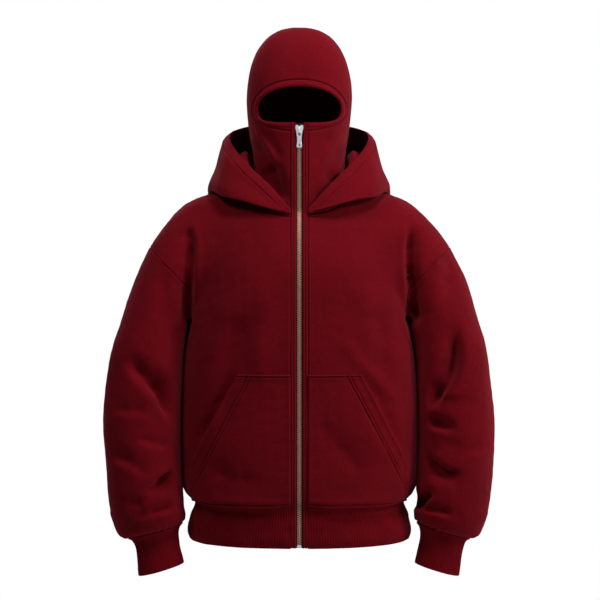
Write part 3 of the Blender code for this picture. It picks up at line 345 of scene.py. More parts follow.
def onto(form, p, steps=8, longest=12.0):
    """Points moved onto a form's surface."""
    shape = p.shape
    p = p.reshape(-1, 3).copy()
    for _ in range(steps):
        g = slope(form, p)
        move = g * (form(p) / np.maximum((g * g).sum(1), NOT_FLAT))[:, None]
        length = np.linalg.norm(move, axis=1, keepdims=True)
        p -= move * np.minimum(1, longest / np.maximum(length, TINY))
    return p.reshape(shape)


def outward(form, p):
    return unit(slope(form, p.reshape(-1, 3))).reshape(p.shape)


def distances(points):
    """How far along a line each of its points is."""
    return np.concatenate([[0], np.cumsum(np.linalg.norm(np.diff(points, axis=0), axis=1))])


def at_shares(points, shares):
    """Points of a line at shares of its length."""
    points = np.asarray(points, float)
    far = distances(points)
    return np.stack([np.interp(shares * far[-1], far, points[:, k]) for k in range(3)], axis=1)


def along_line(points, count):
    """The line again, as count points evenly apart."""
    return at_shares(points, np.linspace(0, 1, count))


def patch(bottom, top, left, right):
    """A grid of points between four edges that meet at their corners (a Coons patch)."""
    rows, columns = len(left), len(bottom)
    u, v = np.linspace(0, 1, columns)[None, :, None], np.linspace(0, 1, rows)[:, None, None]
    ruled = (1 - v) * bottom[None] + v * top[None] + (1 - u) * left[:, None] + u * right[:, None]
    corners = (1 - u) * (1 - v) * bottom[0] + u * (1 - v) * bottom[-1]
    corners = corners + (1 - u) * v * top[0] + u * v * top[-1]
    return ruled - corners


# ---------- body panels ----------


def front_depth(x, z, sign):
    """The worn form's y at each x and z, on the front (sign -1) or the back (1)."""
    x, z = np.asarray(x, float), np.asarray(z, float)
    probes = np.linspace(OUTSIDE_Y * sign, SHOULDER_Y, 90)
    points = np.stack(np.broadcast_arrays(x[:, None], probes[None], z[:, None]), axis=-1)
    within = body_form(points.reshape(-1, 3)).reshape(len(x), -1) < 0
    within[:, -1] = True
    first = within.argmax(axis=1)
    low, high = probes[first], probes[np.maximum(first - 1, 0)]
    for _ in range(30):
        middle = (low + high) / 2
        inside = body_form(np.stack([x, middle, z], axis=1)) < 0
        low, high = np.where(inside, middle, low), np.where(inside, high, middle)
    return (low + high) / 2


def walk_levels(levels, start_x, sign, step=3.0, count=190):
    """Walks round the worn form at each level, from near the middle outwards."""
    levels = np.asarray(levels, float)
    x = np.full(len(levels), start_x)
    p = np.stack([x, front_depth(x, levels, sign)], axis=1)

    def value(q):
        return body_form(np.column_stack([q, levels]))

    def gradient(q, h=0.4):
        across = value(q + [h, 0]) - value(q - [h, 0])
        deep = value(q + [0, h]) - value(q - [0, h])
        return np.stack([across, deep], axis=1) / (2 * h)

    path = [p]
    heading = np.tile([1.0, 0.0], (len(levels), 1))
    for _ in range(count):
        g = gradient(p)
        along = unit(np.stack([-g[:, 1], g[:, 0]], axis=1))
        along *= np.sign((along * heading).sum(1))[:, None]
        p = p + along * step
        for _ in range(2):
            g = gradient(p)
            p = p - g * (value(p) / np.maximum((g * g).sum(1), NOT_FLAT))[:, None]
        heading = along
        path.append(p)
    return np.array(path)


def armhole_end(path, z):
    """Which of the path's points is at the armhole seam, past the groove beside the arm."""
    p = np.column_stack([path, np.full(len(path), z)])
    past_groove = np.flatnonzero(limb(p) < torso(p))[0]
    seam_x = smooth(*np.array(ARMHOLE, float).T, z)
    beyond = np.flatnonzero(path[past_groove:, 0] >= seam_x)
    return past_groove + beyond[0]


def rows_above_armpit(start_x, sign, columns):
    """Rows from the armpit to the yoke, middle to armhole."""
    levels = ARMPIT_Z + (YOKE_Z - ARMPIT_Z) * np.array(ARMHOLE_LEVELS)
    paths = walk_levels(levels, start_x, sign)
    rows = []
    for k, z in enumerate(levels):
        path = paths[: armhole_end(paths[:, k], z) + 1, k]
        rows.append(along_line(np.column_stack([path, np.full(len(path), z)]), columns + 1))
    return rows


def rows_below_armpit(start_x, sign, columns, length_above):
    """Rows from the hem seam to the armpit, middle to side seam.

    Just below the armpit the columns go straight down from those above it, which end at the armhole.
    """
    even = np.linspace(0, 1, columns + 1)
    levels = list(TUCK_LEVELS) + list(np.linspace(TUCK_LEVELS[-1], ARMPIT_Z, BODY_ROWS)[1:])
    angles = np.linspace(0, math.pi / 2, 200)
    rows = []
    for z in levels:
        half_width, front, back = section(z, TORSO)
        x = half_width * np.sin(angles) ** (2 / TORSO_POWER)
        y = sign * (front if sign < 0 else back) * np.cos(angles) ** (2 / TORSO_POWER)
        arc = np.column_stack([x, y, np.full(len(x), z)])
        arc = arc[x >= start_x]
        arc = np.vstack([[start_x, np.interp(start_x, x, y), z], arc])
        near = ease(1 - (ARMPIT_Z - z) / COLUMNS_EVEN_BELOW)
        shares = even * (1 - near * (1 - length_above / distances(arc)[-1]))
        shares[-1] = 1
        rows.append(at_shares(arc, shares))
    return rows


def neckline(table, sign, count, start_x):
    """The neckline from near the middle to the neck point, on the form's front or back."""
    table = np.array(table, float)
    far = np.linspace(start_x, table[-1, 0] - NECKLINE_SHORT, 40)
    z = smooth(table[:, 0], table[:, 1], far)
    y = front_depth(far, z, sign)
    line = np.column_stack([far, y, z])
    return along_line(onto(body_form, np.vstack([line, NECK_POINT])), count)


def shoulder_seam(count):
    straight = np.linspace(NECK_POINT, SHOULDER_TIP, 30)
    return along_line(onto(body_form, straight + [0, 0, SHOULDER_DROP]), count)


def half_panel(start_x, sign, columns):
    """The +X half of the front (sign -1) or the back (1), as rows from the hem seam to the shoulder."""
    upper = rows_above_armpit(start_x, sign, columns)
    lower = rows_below_armpit(start_x, sign, columns, distances(upper[0])[-1])
    yoke_bottom = upper[-1]
    table = NECKLINE_FRONT if sign < 0 else NECKLINE_BACK
    neck = neckline(table, sign, NECK_COLUMNS + 1, start_x)
    shoulder = shoulder_seam(columns - NECK_COLUMNS + 1)
    top = np.vstack([neck, shoulder[1:]])
    middle_z = np.linspace(YOKE_Z, top[0, 2], YOKE_ROWS + 1)
    x = np.full(YOKE_ROWS + 1, start_x)
    left = np.column_stack([x, front_depth(x, middle_z, sign), middle_z])
    armhole_z = np.linspace(YOKE_Z, top[-1, 2], 24)[:-1]
    armhole_x = smooth(*np.array(ARMHOLE, float).T, armhole_z)
    armhole = np.column_stack([armhole_x, front_depth(armhole_x, armhole_z, sign), armhole_z])
    side = onto(body_form, np.vstack([yoke_bottom[-1], armhole[1:], top[-1]]))
    right = along_line(side, YOKE_ROWS + 1)
    left[0], left[-1], right[0], right[-1] = yoke_bottom[0], top[0], yoke_bottom[-1], top[-1]
    yoke = patch(yoke_bottom, top, left, right)
    yoke[1:-1, 1:-1] = onto(body_form, yoke[1:-1, 1:-1])
    return np.array(lower + upper + list(yoke[1:]))


def mirrored(grid):
    """The same grid on the other side, in the order that keeps its faces pointing out."""
    return (grid * [-1, 1, 1])[:, ::-1]


def limb_frame(z):
    """The middle of the sleeve at a level, and its half sizes."""
    return smooth(-np.array(LIMB)[:, 2], LIMB, -np.asarray(z, float))


def turns(count):
    """Angles evenly round a circle."""
    return np.linspace(0, 2 * math.pi, count, endpoint=False)


def ring_round(centre, across, half_width, half_depth, count):
    """A ring from its inner side by the front to its outer side and back."""
    angle = turns(count)
    wide, deep = np.cos(angle) * half_width, np.sin(angle) * half_depth
    return centre - np.outer(wide, across) - np.outer(deep, [0, 1, 0])


def sleeve_ring(z, count):
    """A ring square to the sleeve's line."""
    at, below = limb_frame(z), limb_frame(z - 1)
    run = unit((below - at)[:3])
    return ring_round(at[:3], unit(np.array([-run[2], 0, run[0]])), at[3], at[4], count)


def tilted_ring(centre, half_width, half_depth, count):
    across = np.array([math.cos(CUFF_TILT), 0, -math.sin(CUFF_TILT)])
    return ring_round(centre, across, half_width, half_depth, count)


def sleeve_grid(armhole):
    """The sleeve's rings, from the armhole loop to the cuff's seam, on +X."""
    count = len(armhole)
    first = onto(sleeve_form, sleeve_ring(SLEEVE_SECTION_Z, count))
    rings = [armhole]
    for k in range(1, SLEEVE_CAP_RINGS + 1):
        share = k / (SLEEVE_CAP_RINGS + 1)
        rings.append(onto(sleeve_form, armhole * (1 - share) + first * share))
    for z in np.linspace(SLEEVE_SECTION_Z, SLEEVE_LAST_Z, SLEEVE_RINGS):
        rings.append(onto(sleeve_form, sleeve_ring(z, count)))
    up = unit(np.array(CUFF_SEAM) - np.array(CUFF_END))
    for above, outwards, half_width, half_depth in PUFF[::-1]:
        centre = np.array(CUFF_SEAM) + up * above + [outwards, 0, 0]
        rings.append(tilted_ring(centre, half_width, half_depth, count))
    return np.array(rings)


def ring_normals(grid):
    """Outward directions of a closed grid of rings, from its own points."""
    round_it = np.roll(grid, -1, axis=1) - np.roll(grid, 1, axis=1)
    down = np.gradient(grid, axis=0)
    normals = unit(np.cross(round_it, down))
    centre = grid.mean(axis=1, keepdims=True)
    return normals * np.sign((normals * (grid - centre)).sum())


def eye_loop(share, count):
    """Half of a line round the eye opening, from the placket below it to the middle above.

    The line is the opening's edge at share 0 and its band's seam at share 1.
    """
    angle = np.linspace(0, math.pi, 400)
    below = angle < math.pi / 2
    drop_power = EYE_DROP_POWER + (EYE_SEAM_POWER - EYE_DROP_POWER) * share
    power = np.where(below, drop_power, EYE_RISE_POWER)
    x = (EYE_HALF_WIDTH + EYE_BAND_BESIDE * share) * np.abs(np.sin(angle)) ** (2 / power)
    reach = np.where(below, -EYE_DROP - EYE_BAND_BELOW * share, EYE_RISE + EYE_BAND_ABOVE * share)
    z = EYE_Z + reach * np.abs(np.cos(angle)) ** (2 / power)
    keep = (x >= PANEL_EDGE) | (angle > math.pi / 2)
    x, z = x[keep], z[keep]
    x[0] = PANEL_EDGE
    y = -mask_front_depth(x, z)
    return along_line(onto_mask(np.column_stack([x, y, z])), count)


def mask_front_depth(x, z):
    half_width, front, _ = section(z, MASK)
    rise = np.maximum(z - DOME_Z, 0) / DOME_RISE
    left = 1 - (np.abs(x) / half_width) ** MASK_POWER - rise**MASK_POWER
    return front * np.maximum(left, 0.0) ** (1 / MASK_POWER)


def onto_mask(p):
    return onto(mask_form, p, steps=6)


def mask_neck(start, count):
    """The mask's lower edge inside the neckline, from the middle to the ear seam."""
    table, sign = (NECKLINE_FRONT, -1) if start == "front" else (NECKLINE_BACK, 1)
    first = PANEL_EDGE if sign < 0 else 0.0
    line = neckline(table, sign, 60, first)
    line[:, 2] -= MASK_TUCK
    pulled = onto_mask(line * MASK_NECK_IN)
    pulled[0, 0] = first
    pulled = pulled[pulled[:, 1] * sign > MASK_SEAM_Y * sign]
    return along_line(np.vstack([pulled, ear_seam_points()[0]]), count)


def ear_seam_points():
    """The seam from the neck over the ear to the crown, on +X."""
    over = DOME_Z + DOME_RISE * np.sin(np.linspace(0.05, 1, 60) * math.pi / 2)
    z = np.concatenate([np.linspace(2, DOME_Z, 40), over])
    half_width = section(z, MASK)[0]
    rise = np.clip((z - DOME_Z) / DOME_RISE, 0, 1)
    x = half_width * (1 - rise**MASK_POWER) ** (1 / MASK_POWER)
    line = onto_mask(np.column_stack([x, np.full(len(x), MASK_SEAM_Y), z]))
    line[-1, 0] = 0.0
    return line


def along_line_keep(points, middle, count):
    """The line as count points, an odd number, with its middle point kept."""
    half = count // 2 + 1
    first, second = along_line(points[: middle + 1], half), along_line(points[middle:], half)
    return np.vstack([first, second[1:]])


def neck_seam(shares):
    """The neck seam on +X, from the placket to the middle of the back, at shares of its length."""
    front = neckline(NECKLINE_FRONT, -1, 60, PANEL_EDGE)
    back = neckline(NECKLINE_BACK, 1, 60, 0.0)[::-1]
    return at_shares(np.vstack([front, back[1:]]), shares)


def hood_surface(shares, around):
    """The hood on +X as rows from neck to rim, each from the placket to the middle of the back."""
    keys = [row[0] for row in HOOD]
    table = np.array([np.ravel(row[1:]) for row in HOOD], float)
    lines = smooth(keys, table, shares).reshape(len(shares), -1, 3)
    seam = neck_seam(shares) + [0, 0, NECK_GAP]
    lines = np.concatenate([seam[:, None], lines], axis=1)
    last = lines.shape[1] - 1
    grid = np.stack([smooth(np.arange(last + 1), line, around * last) for line in lines], axis=1)
    flat = grid.reshape(-1, 3)
    clear = LAID_ON + (REST_CLEAR - LAID_ON) * ease(around / HOOD_RESTS_FROM)
    near = np.maximum(np.repeat(clear, len(shares)) - body_form(flat), 0)
    return (flat + outward(body_form, flat) * near[:, None]).reshape(grid.shape)


def grid_normals(grid):
    """Directions square to an open grid, from its own points."""
    return unit(np.cross(np.gradient(grid, axis=1), np.gradient(grid, axis=0)))


def torso_front(x, z):
    half_width, front, _ = section(z, TORSO)
    return front * (1 - (x / half_width) ** TORSO_POWER) ** (1 / TORSO_POWER)


def centre_depth(x, z):
    """How far forward the outside of the cloth is beside the zip."""
    return -smaller(-torso_front(x, z), -mask_front_depth(x, z), ROUND_AT_CHIN)


# ---------- seams, creases and unevenness ----------

# What an edge does to the cloth near it, as mm from the edge and rise
RELIEFS = {
    "seam": ((0, -1.8), (0.9, -0.7), (2.4, 0.3), (5.0, 0.4), (12, 0)),
    "side_seam": ((0, -0.5), (1.2, 0), (3, 0.1), (6, 0)),
    "topstitched": (
        (0, -1.9), (0.9, 0.1), (2.6, 1.9), (4, 1.5), (5.6, -1.4), (7.2, 1), (9.5, 1), (17, 0),
    ),
    "laid_edge": (
        (0, -0.4), (0.9, 1.2), (2.1, 1.3), (3.2, 0.2), (4.4, -1.5), (5.8, 0.8), (7.8, 0.8), (14, 0),
    ),
    "beside_zip": ((0, -1.6), (1.0, -0.4), (2.4, 0.5), (4.4, 0.5), (9, 0)),
    "rim_hem": (
        (0, 0.2), (3, 0.9), (9, 0.5), (16, 0.6), (18.4, 0.4), (20.2, -1.4), (22.2, 0.5), (26, 0.5),
        (34, 0),
    ),
    "eye_roll": ((0, -0.6), (1.6, 0.9), (4.5, 2.1), (8, 1.8), (11.5, 0.5), (14, 0)),
    "turned": ((0, 0.2), (1.6, 1.5), (4, 0.6), (16, 0.2), (30, 0)),
}
PUCKER_DEPTH = 0.28
PUCKER_REACH = 9.0
SEEDS = {
    # of the small unevenness along each piece's edges
    "front_left": 1, "front_right": 11, "back": 21, "sleeve_left": 6, "sleeve_right": 4,
    "mask_front": 31, "eye_band": 37, "mask_back": 41, "hood_left": 51, "hood_right": 52,
    "placket_left": 61, "placket_right": 59, "pocket_left": 71, "pocket_right": 81,
}

# Creases, each a trough along a curved line. With a ridge it is steep on one side, under the ridge:
# to the left of its way, or to the right where the ridge is negative
ARMPIT_CREASES = (
    # side, depth, width, ridge, share of its length over which its far end fades, points x z
    ("front", 21, 11, 3.5, 0.14,
     ((218, -278), (217, -246), (215, -200), (212, -150), (214, -108), (222, -70))),
    ("front", 17, 11, -3.5, 0.14,
     ((-219, -278), (-217, -246), (-213, -200), (-210, -145), (-210, -108), (-220, -74))),
    ("back", 10, 13, -2, 0.42, ((216, -290), (214, -225), (217, -150), (222, -90))),
    ("back", 10, 13, 2, 0.42, ((-216, -290), (-214, -225), (-217, -150), (-222, -90))),
)
SLEEVE_CREASES = (
    ("front", 27, 16, -4, 0.2,
     ((186, -466), (223, -436), (257, -407), (284, -374), (300, -330), (303, -262))),
    ("front", 15, 11, -2, 0.35, ((190, -438), (225, -447), (262, -461), (306, -468))),
    ("front", 17, 13, 2.5, 0.3, ((196, -470), (227, -502), (250, -530), (279, -549), (324, -553))),
    ("front", 18, 9, -4, 0.25, ((188, -628), (223, -616), (240, -604), (264, -585))),
    ("front", 9, 8, -2.5, 0.42, ((190, -622), (223, -621), (265, -625), (290, -631), (322, -639))),
    ("front", 4.5, 12, 1.5, 0.42, ((250, -418), (290, -412), (336, -408))),
    ("front", 4, 16, 0, 0.42, ((268, -490), (306, -504), (344, -520))),
    ("front", 4.5, 14, 0, 0.42, ((292, -128), (293, -170), (288, -220))),
    ("front", -4, 13, 0, 0.42, ((262, -130), (264, -180), (262, -256))),
    ("front", 3, 14, 1, 0.42, ((372, -500), (344, -506), (318, -500))),
    ("front", 5, 19, 0, 0.42, ((-268, -138), (-262, -220), (-255, -354))),
    ("front", 25, 17, 2, 0.3,
     ((-188, -482), (-235, -448), (-262, -404), (-284, -381), (-310, -358), (-336, -325))),
    ("front", 14, 15, 0, 0.3, ((-228, -262), (-233, -330), (-236, -400), (-230, -450))),
    ("front", 4.5, 12, 1.5, 0.42, ((-290, -430), (-325, -432), (-362, -428))),
    ("front", 5, 9, 1.5, 0.42, ((-246, -504), (-280, -494), (-310, -486))),
    ("front", 6, 13, 2, 0.42, ((-288, -553), (-332, -527), (-366, -519))),
    ("front", 22, 10, -3, 0.3, ((-190, -520), (-230, -545), (-251, -558), (-272, -574), (-292, -589))),
    ("front", 5, 11, 0, 0.42, ((-294, -608), (-320, -609), (-346, -605))),
    ("front", 9, 8, 2.5, 0.42, ((-236, -617), (-265, -625), (-292, -632), (-332, -642))),
    ("back", 13, 15, 3, 0.42, ((-250, -358), (-310, -306), (-368, -256))),
    ("back", 12, 13, 3, 0.42, ((-240, -476), (-310, -458), (-380, -430))),
    ("back", 7, 12, 2, 0.42, ((-352, -512), (-310, -520), (-250, -508))),
    ("back", 12, 11, 3, 0.42, ((-240, -603), (-300, -588), (-360, -560))),
    ("back", 13, 16, 3, 0.42, ((374, -258), (318, -296), (250, -348))),
    ("back", 12, 13, 3, 0.42, ((384, -410), (330, -428), (250, -460))),
    ("back", 7, 11, 2, 0.42, ((258, -496), (320, -512), (362, -496))),
    ("back", 12, 11, 3, 0.42, ((372, -540), (318, -560), (244, -588))),
)
BODY_CREASES = (
    ("front", -4, 24, 0, 0.42, ((112, -180), (130, -250), (140, -330))),
    ("front", 5.5, 17, 0, 0.42, ((150, -236), (160, -320), (172, -410))),
    ("front", -4, 13, 0, 0.42, ((76, -290), (101, -324), (166, -390), (196, -424))),
    ("front", 5, 19, 0, 0.42, ((36, -446), (90, -515), (142, -567))),
    ("front", -3, 18, 0, 0.42, ((110, -440), (150, -500), (190, -556))),
    ("front", -4, 28, 0, 0.42, ((-122, -190), (-160, -300), (-192, -420))),
    ("front", 5, 18, 0, 0.42, ((-104, -240), (-138, -340), (-142, -500))),
    ("front", 4, 17, 0, 0.42, ((-176, -536), (-120, -560), (-64, -556))),
    ("front", -3.5, 20, 0, 0.42, ((-60, -180), (-76, -300), (-64, -420))),
    ("back", 4, 9, 1.5, 0.42, ((-60, -24), (0, -34), (60, -24))),
    ("back", -4, 36, 0, 0.42, ((60, -230), (52, -380), (40, -520))),
    ("back", -4, 34, 0, 0.42, ((-150, -250), (-132, -380), (-110, -500))),
    ("back", 4, 20, 0, 0.42, ((120, -240), (108, -380), (120, -500))),
    ("back", 3.5, 20, 0, 0.42, ((-60, -300), (-46, -420), (-70, -540))),
    ("back", 4, 13, 1.5, 0.42, ((-200, -560), (-110, -578), (-40, -570))),
    ("back", 4, 13, 1.5, 0.42, ((30, -566), (110, -580), (204, -556))),
)
# Beside the pockets' slanted openings, where the pocket stands off the front
BESIDE_POCKETS = (
    ("front", 6, 11, 0, 0.3, ((-122, -356), (-150, -410), (-180, -467), (-212, -528))),
    ("front", 3, 9, 0, 0.3, ((126, -364), (152, -412), (181, -470), (210, -524))),
)
CREASE_STEPS = 24
CREASE_REACH = 3.2  # in widths, beyond which a crease is nothing
CREASE_TURN = 50  # over this depth a crease ends where the cloth turns to the other side
CREASE_START = 0.3  # the share of its length over which it begins, and how much of it is there at once
CREASE_AT_ONCE = 0.12
CREASE_LEFT = 0.05  # at its far end
STEEP_SIDE = 0.58  # of the width, on the ridge's side of a trough
GENTLE_SIDE = 1.4
RIDGE_SHARE = 0.6  # of the ridge's stated height
RIDGE_AWAY = 1.25  # in widths from the trough's line
RIDGE_WIDTH = 0.6
MASK_FOLDS = (
    # rise, width, points x z
    (3.6, 3.6, ((-90, 128), (-76, 100), (-60, 74), (-46, 46))),
    (-7, 11, ((-94, 96), (-80, 72), (-64, 44), (-48, 14))),
    (-3.5, 9, ((-74, 110), (-58, 88), (-44, 64), (-36, 40))),
    (3.4, 3.6, ((88, 112), (66, 82), (50, 58), (40, 28))),
    (-4, 9, ((70, 106), (52, 84), (38, 58), (30, 34))),
    (-5, 10, ((92, 84), (74, 56), (60, 28), (50, 0))),
    (-17, 18, ((-64, 46), (-50, 6), (-34, -42))),
    (-9, 20, ((88, 24), (64, -12), (40, -50))),
)
MASK_FOLD_STEPS = 12
MASK_FOLD_ENDS = 0.3
BROAD_WAVE = 1.1
SMALL_WAVE = 0.16
RIB_WAVE = 0.5
# The cloth is fuller at the hem's seam, across the front but for the zip
SEAM_FILL = 6.5
SEAM_FILL_REACH = 17.0
SEAM_FILL_FROM = 12
SEAM_FILL_TO = 215


def relief(distance, name):
    table = np.array(RELIEFS[name], float)
    return smooth(table[:, 0], table[:, 1], distance)


def bell(away, width):
    """A smooth hump, 1 in its middle."""
    return np.exp(-((away / width) ** 2))


def waves(p, seed, shortest, longest, count=9):
    """A smooth uneven field of about unit height, from waves of chosen lengths in all directions."""
    draw = np.random.default_rng(seed)
    total = np.zeros(len(p))
    for _ in range(count):
        way = unit(draw.normal(size=3))
        length = draw.uniform(shortest, longest)
        total += np.sin(p @ way * (2 * math.pi / length) + draw.uniform(0, 2 * math.pi))
    return total / math.sqrt(count / 2)


def puckers(along, seed):
    """Small uneven gathers along a seam."""
    draw = np.random.default_rng(seed)
    total = 0
    for _ in range(4):
        total = total + np.sin(along * (2 * math.pi / draw.uniform(8, 21)) + draw.uniform(0, 6.3))
    return total / 2


def beside_line(points, steps, places):
    """For places in x and z: distance from a smooth line, share of the way along it, and which side."""
    points = np.array(points, float)
    line = smooth(np.arange(len(points)), points, np.linspace(0, len(points) - 1, steps + 1))
    a, run = line[:-1], np.diff(line, axis=0)
    off = places[:, None] - a[None]
    t = np.clip((off * run).sum(-1) / (run**2).sum(-1), 0, 1)
    gap = np.linalg.norm(off - run * t[..., None], axis=-1)
    best = gap.argmin(axis=1)
    rows = np.arange(len(places))
    cross = run[best, 0] * off[rows, best, 1] - run[best, 1] * off[rows, best, 0]
    return gap[rows, best], (best + t[rows, best]) / steps, np.sign(cross)


def crease_rise(p, creases):
    """How far the creases lift or sink the cloth at each point."""
    total = np.zeros(len(p))
    middle = smooth(-np.array(LIMB)[:, 2], np.array(LIMB)[:, 1], -p[:, 2])
    seen = p[:, [0, 2]]
    for number, (side, depth, width, ridge, fade, points) in enumerate(ARMPIT_CREASES + creases, 2):
        facing = ease(0.5 + (middle - p[:, 1]) / CREASE_TURN * (1 if side == "front" else -1))
        corners = np.array(points, float)
        near = facing > 0
        near &= (seen > corners.min(axis=0) - CREASE_REACH * width).all(axis=1)
        near &= (seen < corners.max(axis=0) + CREASE_REACH * width).all(axis=1)
        if not near.any():
            continue
        gap, share, hand = beside_line(points, CREASE_STEPS, seen[near])
        away = gap * hand * (-1 if ridge < 0 else 1)
        ends = ease(share / CREASE_START + CREASE_AT_ONCE) * ease((1 - share) / fade + CREASE_LEFT)
        uneven = 1 + 0.22 * np.sin(share * 9 + number) + 0.12 * np.sin(share * 21 + 2 * number)
        wide = np.where(away > 0, STEEP_SIDE, GENTLE_SIDE) if ridge else 1
        shape = -depth * bell(away, width * wide)
        shape += RIDGE_SHARE * abs(ridge) * bell(away - RIDGE_AWAY * width, RIDGE_WIDTH * width)
        total[near] += shape * ends * uneven * facing[near]
    return total


def mask_fold_rise(p):
    """The soft folds that run down and in from the eye opening's corners, and the neck's."""
    total = np.zeros(len(p))
    for rise, width, points in MASK_FOLDS:
        gap, share, _ = beside_line(points, MASK_FOLD_STEPS, p[:, [0, 2]])
        ends = ease(share / MASK_FOLD_ENDS) * ease((1 - share) / MASK_FOLD_ENDS)
        total += rise * bell(gap, width) * ends * ease(0.5 - p[:, 1] / 30)
    return total


def uneven_rise(p):
    return BROAD_WAVE * waves(p, 3, 80, 190) + SMALL_WAVE * waves(p, 5, 18, 34)


def rib_unevenness(p):
    return waves(p, 11, 24, 70)


def seam_fill(p):
    """How much fuller the cloth is at the hem's seam, across the front."""
    across = np.abs(p[:, 0])
    from_zip, from_side = ease((across - SEAM_FILL_FROM) / 45), ease((SEAM_FILL_TO - across) / 60)
    near = bell(p[:, 2] - HEM_SEAM_Z, SEAM_FILL_REACH)
    return SEAM_FILL * near * from_side * from_zip * ease(-p[:, 1] / 40)


# ---------- fine grids ----------

GRADED = np.array([0, 0.7, 1.4, 2.2, 3.1, 4.1, 5.2, 6.4, 7.8, 9.6, 12])
HEM_GRADED = np.array(
    [0, 1, 2.2, 4, 7, 10, 13, 15.5, 17, 18, 18.8, 19.5, 20.2, 21, 21.8, 22.7]
    + [23.6, 24.4, 25.2, 26, 27, 29]
)
GRADES = {None: GRADED[:1], "rim_hem": HEM_GRADED, "turned": HEM_GRADED}
# Where a grid's edges are, and the row or column next to each
EDGES = {
    "low": (np.s_[0], np.s_[1]),
    "high": (np.s_[-1], np.s_[-2]),
    "first": (np.s_[:, 0], np.s_[:, 1]),
    "last": (np.s_[:, -1], np.s_[:, -2]),
}
ROUND_OVER = np.radians([30, 60, 90, 120, 150])  # the steps of an open edge's round
SHARP_FOLD = math.radians(70)


def spaced(length, pitch, first=None, last=None):
    """Places along a line, close together near ends that have a relief. The number of steps is even."""
    start, end = GRADES.get(first, GRADED), GRADES.get(last, GRADED)
    middle = length - start[-1] - end[-1]
    steps = max(2, round(middle / pitch))
    steps += (len(start) + len(end) + steps) % 2
    inner = start[-1] + middle * np.arange(1, steps) / steps
    return np.concatenate([start, inner, length - end[::-1]])


def read_between(values, at, closed=False):
    """Rows of a grid read smoothly at fractional places."""
    if closed:
        values = np.concatenate([values[-3:], values, values[:4]])
        at = at + 3
    flat = values.reshape(len(values), -1)
    return smooth(np.arange(len(values)), flat, at).reshape(len(at), *values.shape[1:])


def run_lengths(grid, axis):
    """How far along its row or column each point of a grid is."""
    steps = np.linalg.norm(np.diff(grid, axis=axis), axis=2)
    pad = ((1, 0), (0, 0)) if axis == 0 else ((0, 0), (1, 0))
    return np.pad(np.cumsum(steps, axis=axis), pad)


def side_distances(grid, closed=False):
    """How far each point is from each edge of its grid."""
    down, across = run_lengths(grid, 0), run_lengths(grid, 1)
    made = {"low": down, "high": down[-1] - down, "first": across, "last": across[:, -1:] - across}
    if closed:
        around = across[:, -1:] + np.linalg.norm(grid[:, -1] - grid[:, 0], axis=1)[:, None]
        made["joined"] = np.minimum(across, around - across)
    return made


class Sheet:
    """A fine grid of points on a piece's form, with its normals, that takes the cloth's own relief."""

    def __init__(self, points, normals, closed=False):
        self.points, self.normals, self.closed = points, normals, closed
        self.away = side_distances(points, closed)
        self.inside = points

    def mirror(self):
        """Makes it the same sheet on the other side."""
        self.points, self.normals = mirrored(self.points), mirrored(self.normals)
        away = {name: value[:, ::-1] for name, value in self.away.items()}
        self.away = {**away, "first": away["last"], "last": away["first"]}
        self.inside = self.points

    def lift(self, rise):
        """Moves the whole cloth along its normals."""
        self.raise_outside(rise)
        self.inside = self.points

    def raise_outside(self, rise):
        """Moves its outside alone."""
        self.points = self.points + self.normals * rise[..., None]

    def field(self, function, *values):
        return function(self.points.reshape(-1, 3), *values).reshape(self.points.shape[:2])

    def edge_rise(self, edges, node):
        """The relief of each named edge, with small puckers along it."""
        rise = np.zeros(self.points.shape[:2])
        for k, (side, name) in enumerate(sorted(edges.items())):
            rise += relief(self.away[side], name)
            along = self.away["first"] if side in ("low", "high") else self.away["low"]
            fall = np.exp(-self.away[side] / PUCKER_REACH) * ease(self.away[side] / 2)
            rise += PUCKER_DEPTH * puckers(along, SEEDS[node] + k) * fall
        return rise


def sheet_at(grid, normals, rows_at, columns_at, closed=False):
    """A sheet with rows and columns at fractional places of a plainer grid."""
    both = read_between(np.concatenate([grid, normals], axis=2), rows_at).swapaxes(0, 1)
    both = read_between(both, columns_at, closed).swapaxes(0, 1)
    return Sheet(both[..., :3], unit(both[..., 3:]), closed)


def fine_sheet(grid, normals, pitch, edges, closed=False):
    """A sheet whose points lie a pitch apart, and closer beside the edges that have a relief."""
    down = run_lengths(grid, 0).mean(axis=1)
    across = run_lengths(grid, 1).mean(axis=0)
    first, last = edges.get("first"), edges.get("last")
    if closed:
        across = np.append(across, across[-1] + np.linalg.norm(grid[:, 0] - grid[:, -1], axis=1).mean())
        first = last = edges.get("joined")
    rows = spaced(down[-1], pitch, edges.get("low"), edges.get("high"))
    columns = spaced(across[-1], pitch, first, last)
    if closed:
        columns = columns[:-1]
    rows_at = np.interp(rows, down, np.arange(len(down)))
    columns_at = np.interp(columns, across, np.arange(len(across)))
    return sheet_at(grid, normals, rows_at, columns_at, closed)


